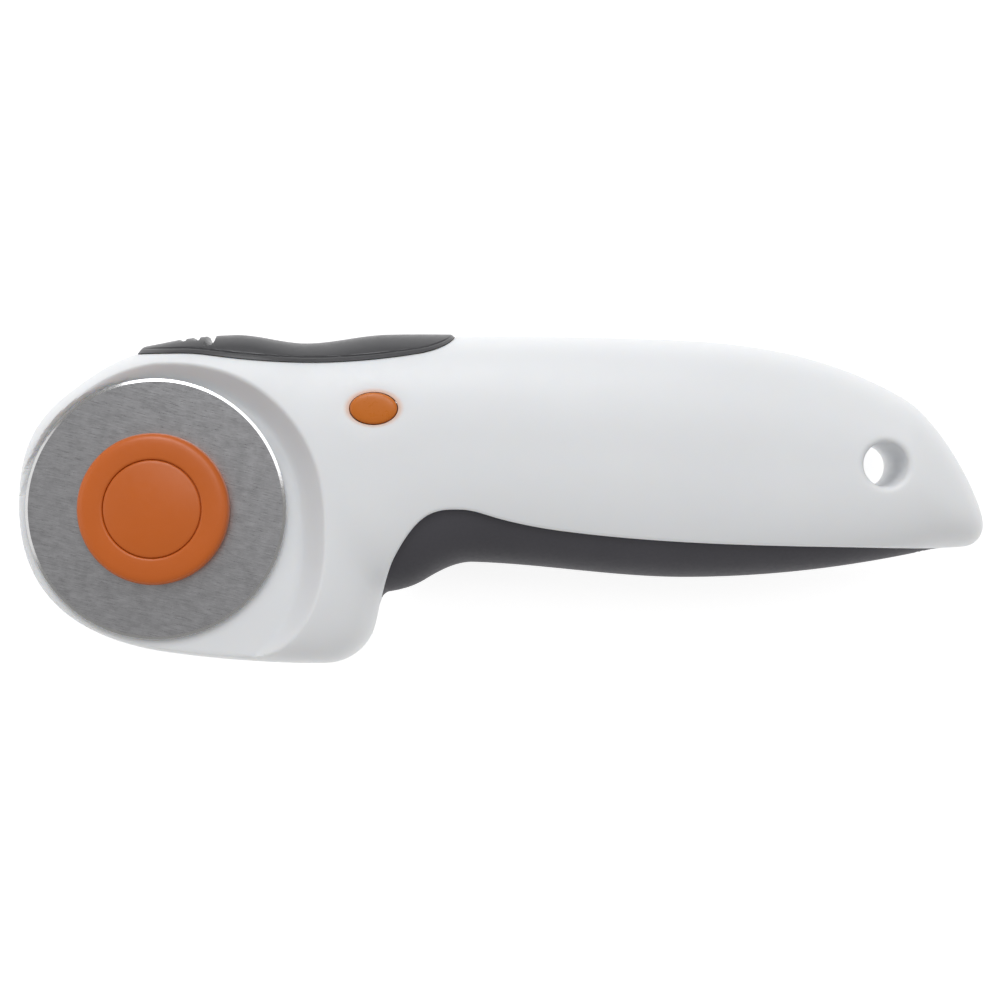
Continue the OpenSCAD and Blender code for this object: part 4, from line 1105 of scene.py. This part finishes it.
# ------------------------------------------------------- floor, lights, camera
bpy.ops.object.select_all(action="DESELECT")
bpy.ops.mesh.primitive_plane_add(size=6, location=(0, 0, -0.00002))
floor = bpy.context.active_object
floor.name = "studio_floor"
floor_mat, floor_tree, floor_shader = material("pale_floor", (0.45, 0.45, 0.45), 0.9)
floor_shader.inputs["Emission Color"].default_value = (1, 1, 1, 1)
floor_shader.inputs["Emission Strength"].default_value = 0.80
floor_where = floor_tree.nodes.new("ShaderNodeTexCoord").outputs["Object"]
floor_tree.links.new(spread(floor_tree, grain(floor_tree, floor_where, 3.0), 0.85, 0.95),
                     floor_shader.inputs["Roughness"])
floor.data.materials.append(floor_mat)


def soft_light(name, at, size, power, colour=(1, 1, 1)):
    data = bpy.data.lights.new(name, "AREA")
    data.shape = "SQUARE"
    data.size = size
    data.energy = power
    data.color = colour
    obj = bpy.data.objects.new(name, data)
    obj.location = at
    obj.rotation_mode = "QUATERNION"
    obj.rotation_quaternion = (Vector((0, 0, 0.01)) - Vector(at)).to_track_quat("-Z", "Y")
    bpy.context.collection.objects.link(obj)


soft_light("key_top", (-0.12, 0.50, 0.52), 0.35, 1.75, (0.97, 0.985, 1.0))
soft_light("overhead", (0.14, 0.30, 0.72), 0.40, 1.05, (0.985, 0.99, 1.0))
soft_light("fill_right", (0.60, -0.05, 0.45), 0.40, 0.3, (0.99, 0.99, 1.0))
soft_light("fill_left", (-0.60, 0.05, 0.40), 0.40, 0.4, (0.99, 0.99, 1.0))
world = bpy.data.worlds.new("studio")
bpy.context.scene.world = world
world.use_nodes = True
world.node_tree.nodes["Background"].inputs["Color"].default_value = (1.0, 0.99, 0.975, 1)
world.node_tree.nodes["Background"].inputs["Strength"].default_value = 0.37

CAMERA_UP = 0.34945
CAMERA_AT = (-0.35 * MM, -0.3 * MM)
FOCAL_SHARE = 1.914
camera_data = bpy.data.cameras.new("camera")
camera_data.sensor_width = 36.0
camera_data.lens = 36.0 * FOCAL_SHARE
camera_data.clip_start = 0.01
camera = bpy.data.objects.new("camera", camera_data)
camera.location = (*CAMERA_AT, CAMERA_UP)
bpy.context.collection.objects.link(camera)
bpy.context.scene.camera = camera
bpy.context.scene.view_settings.view_transform = "Standard"
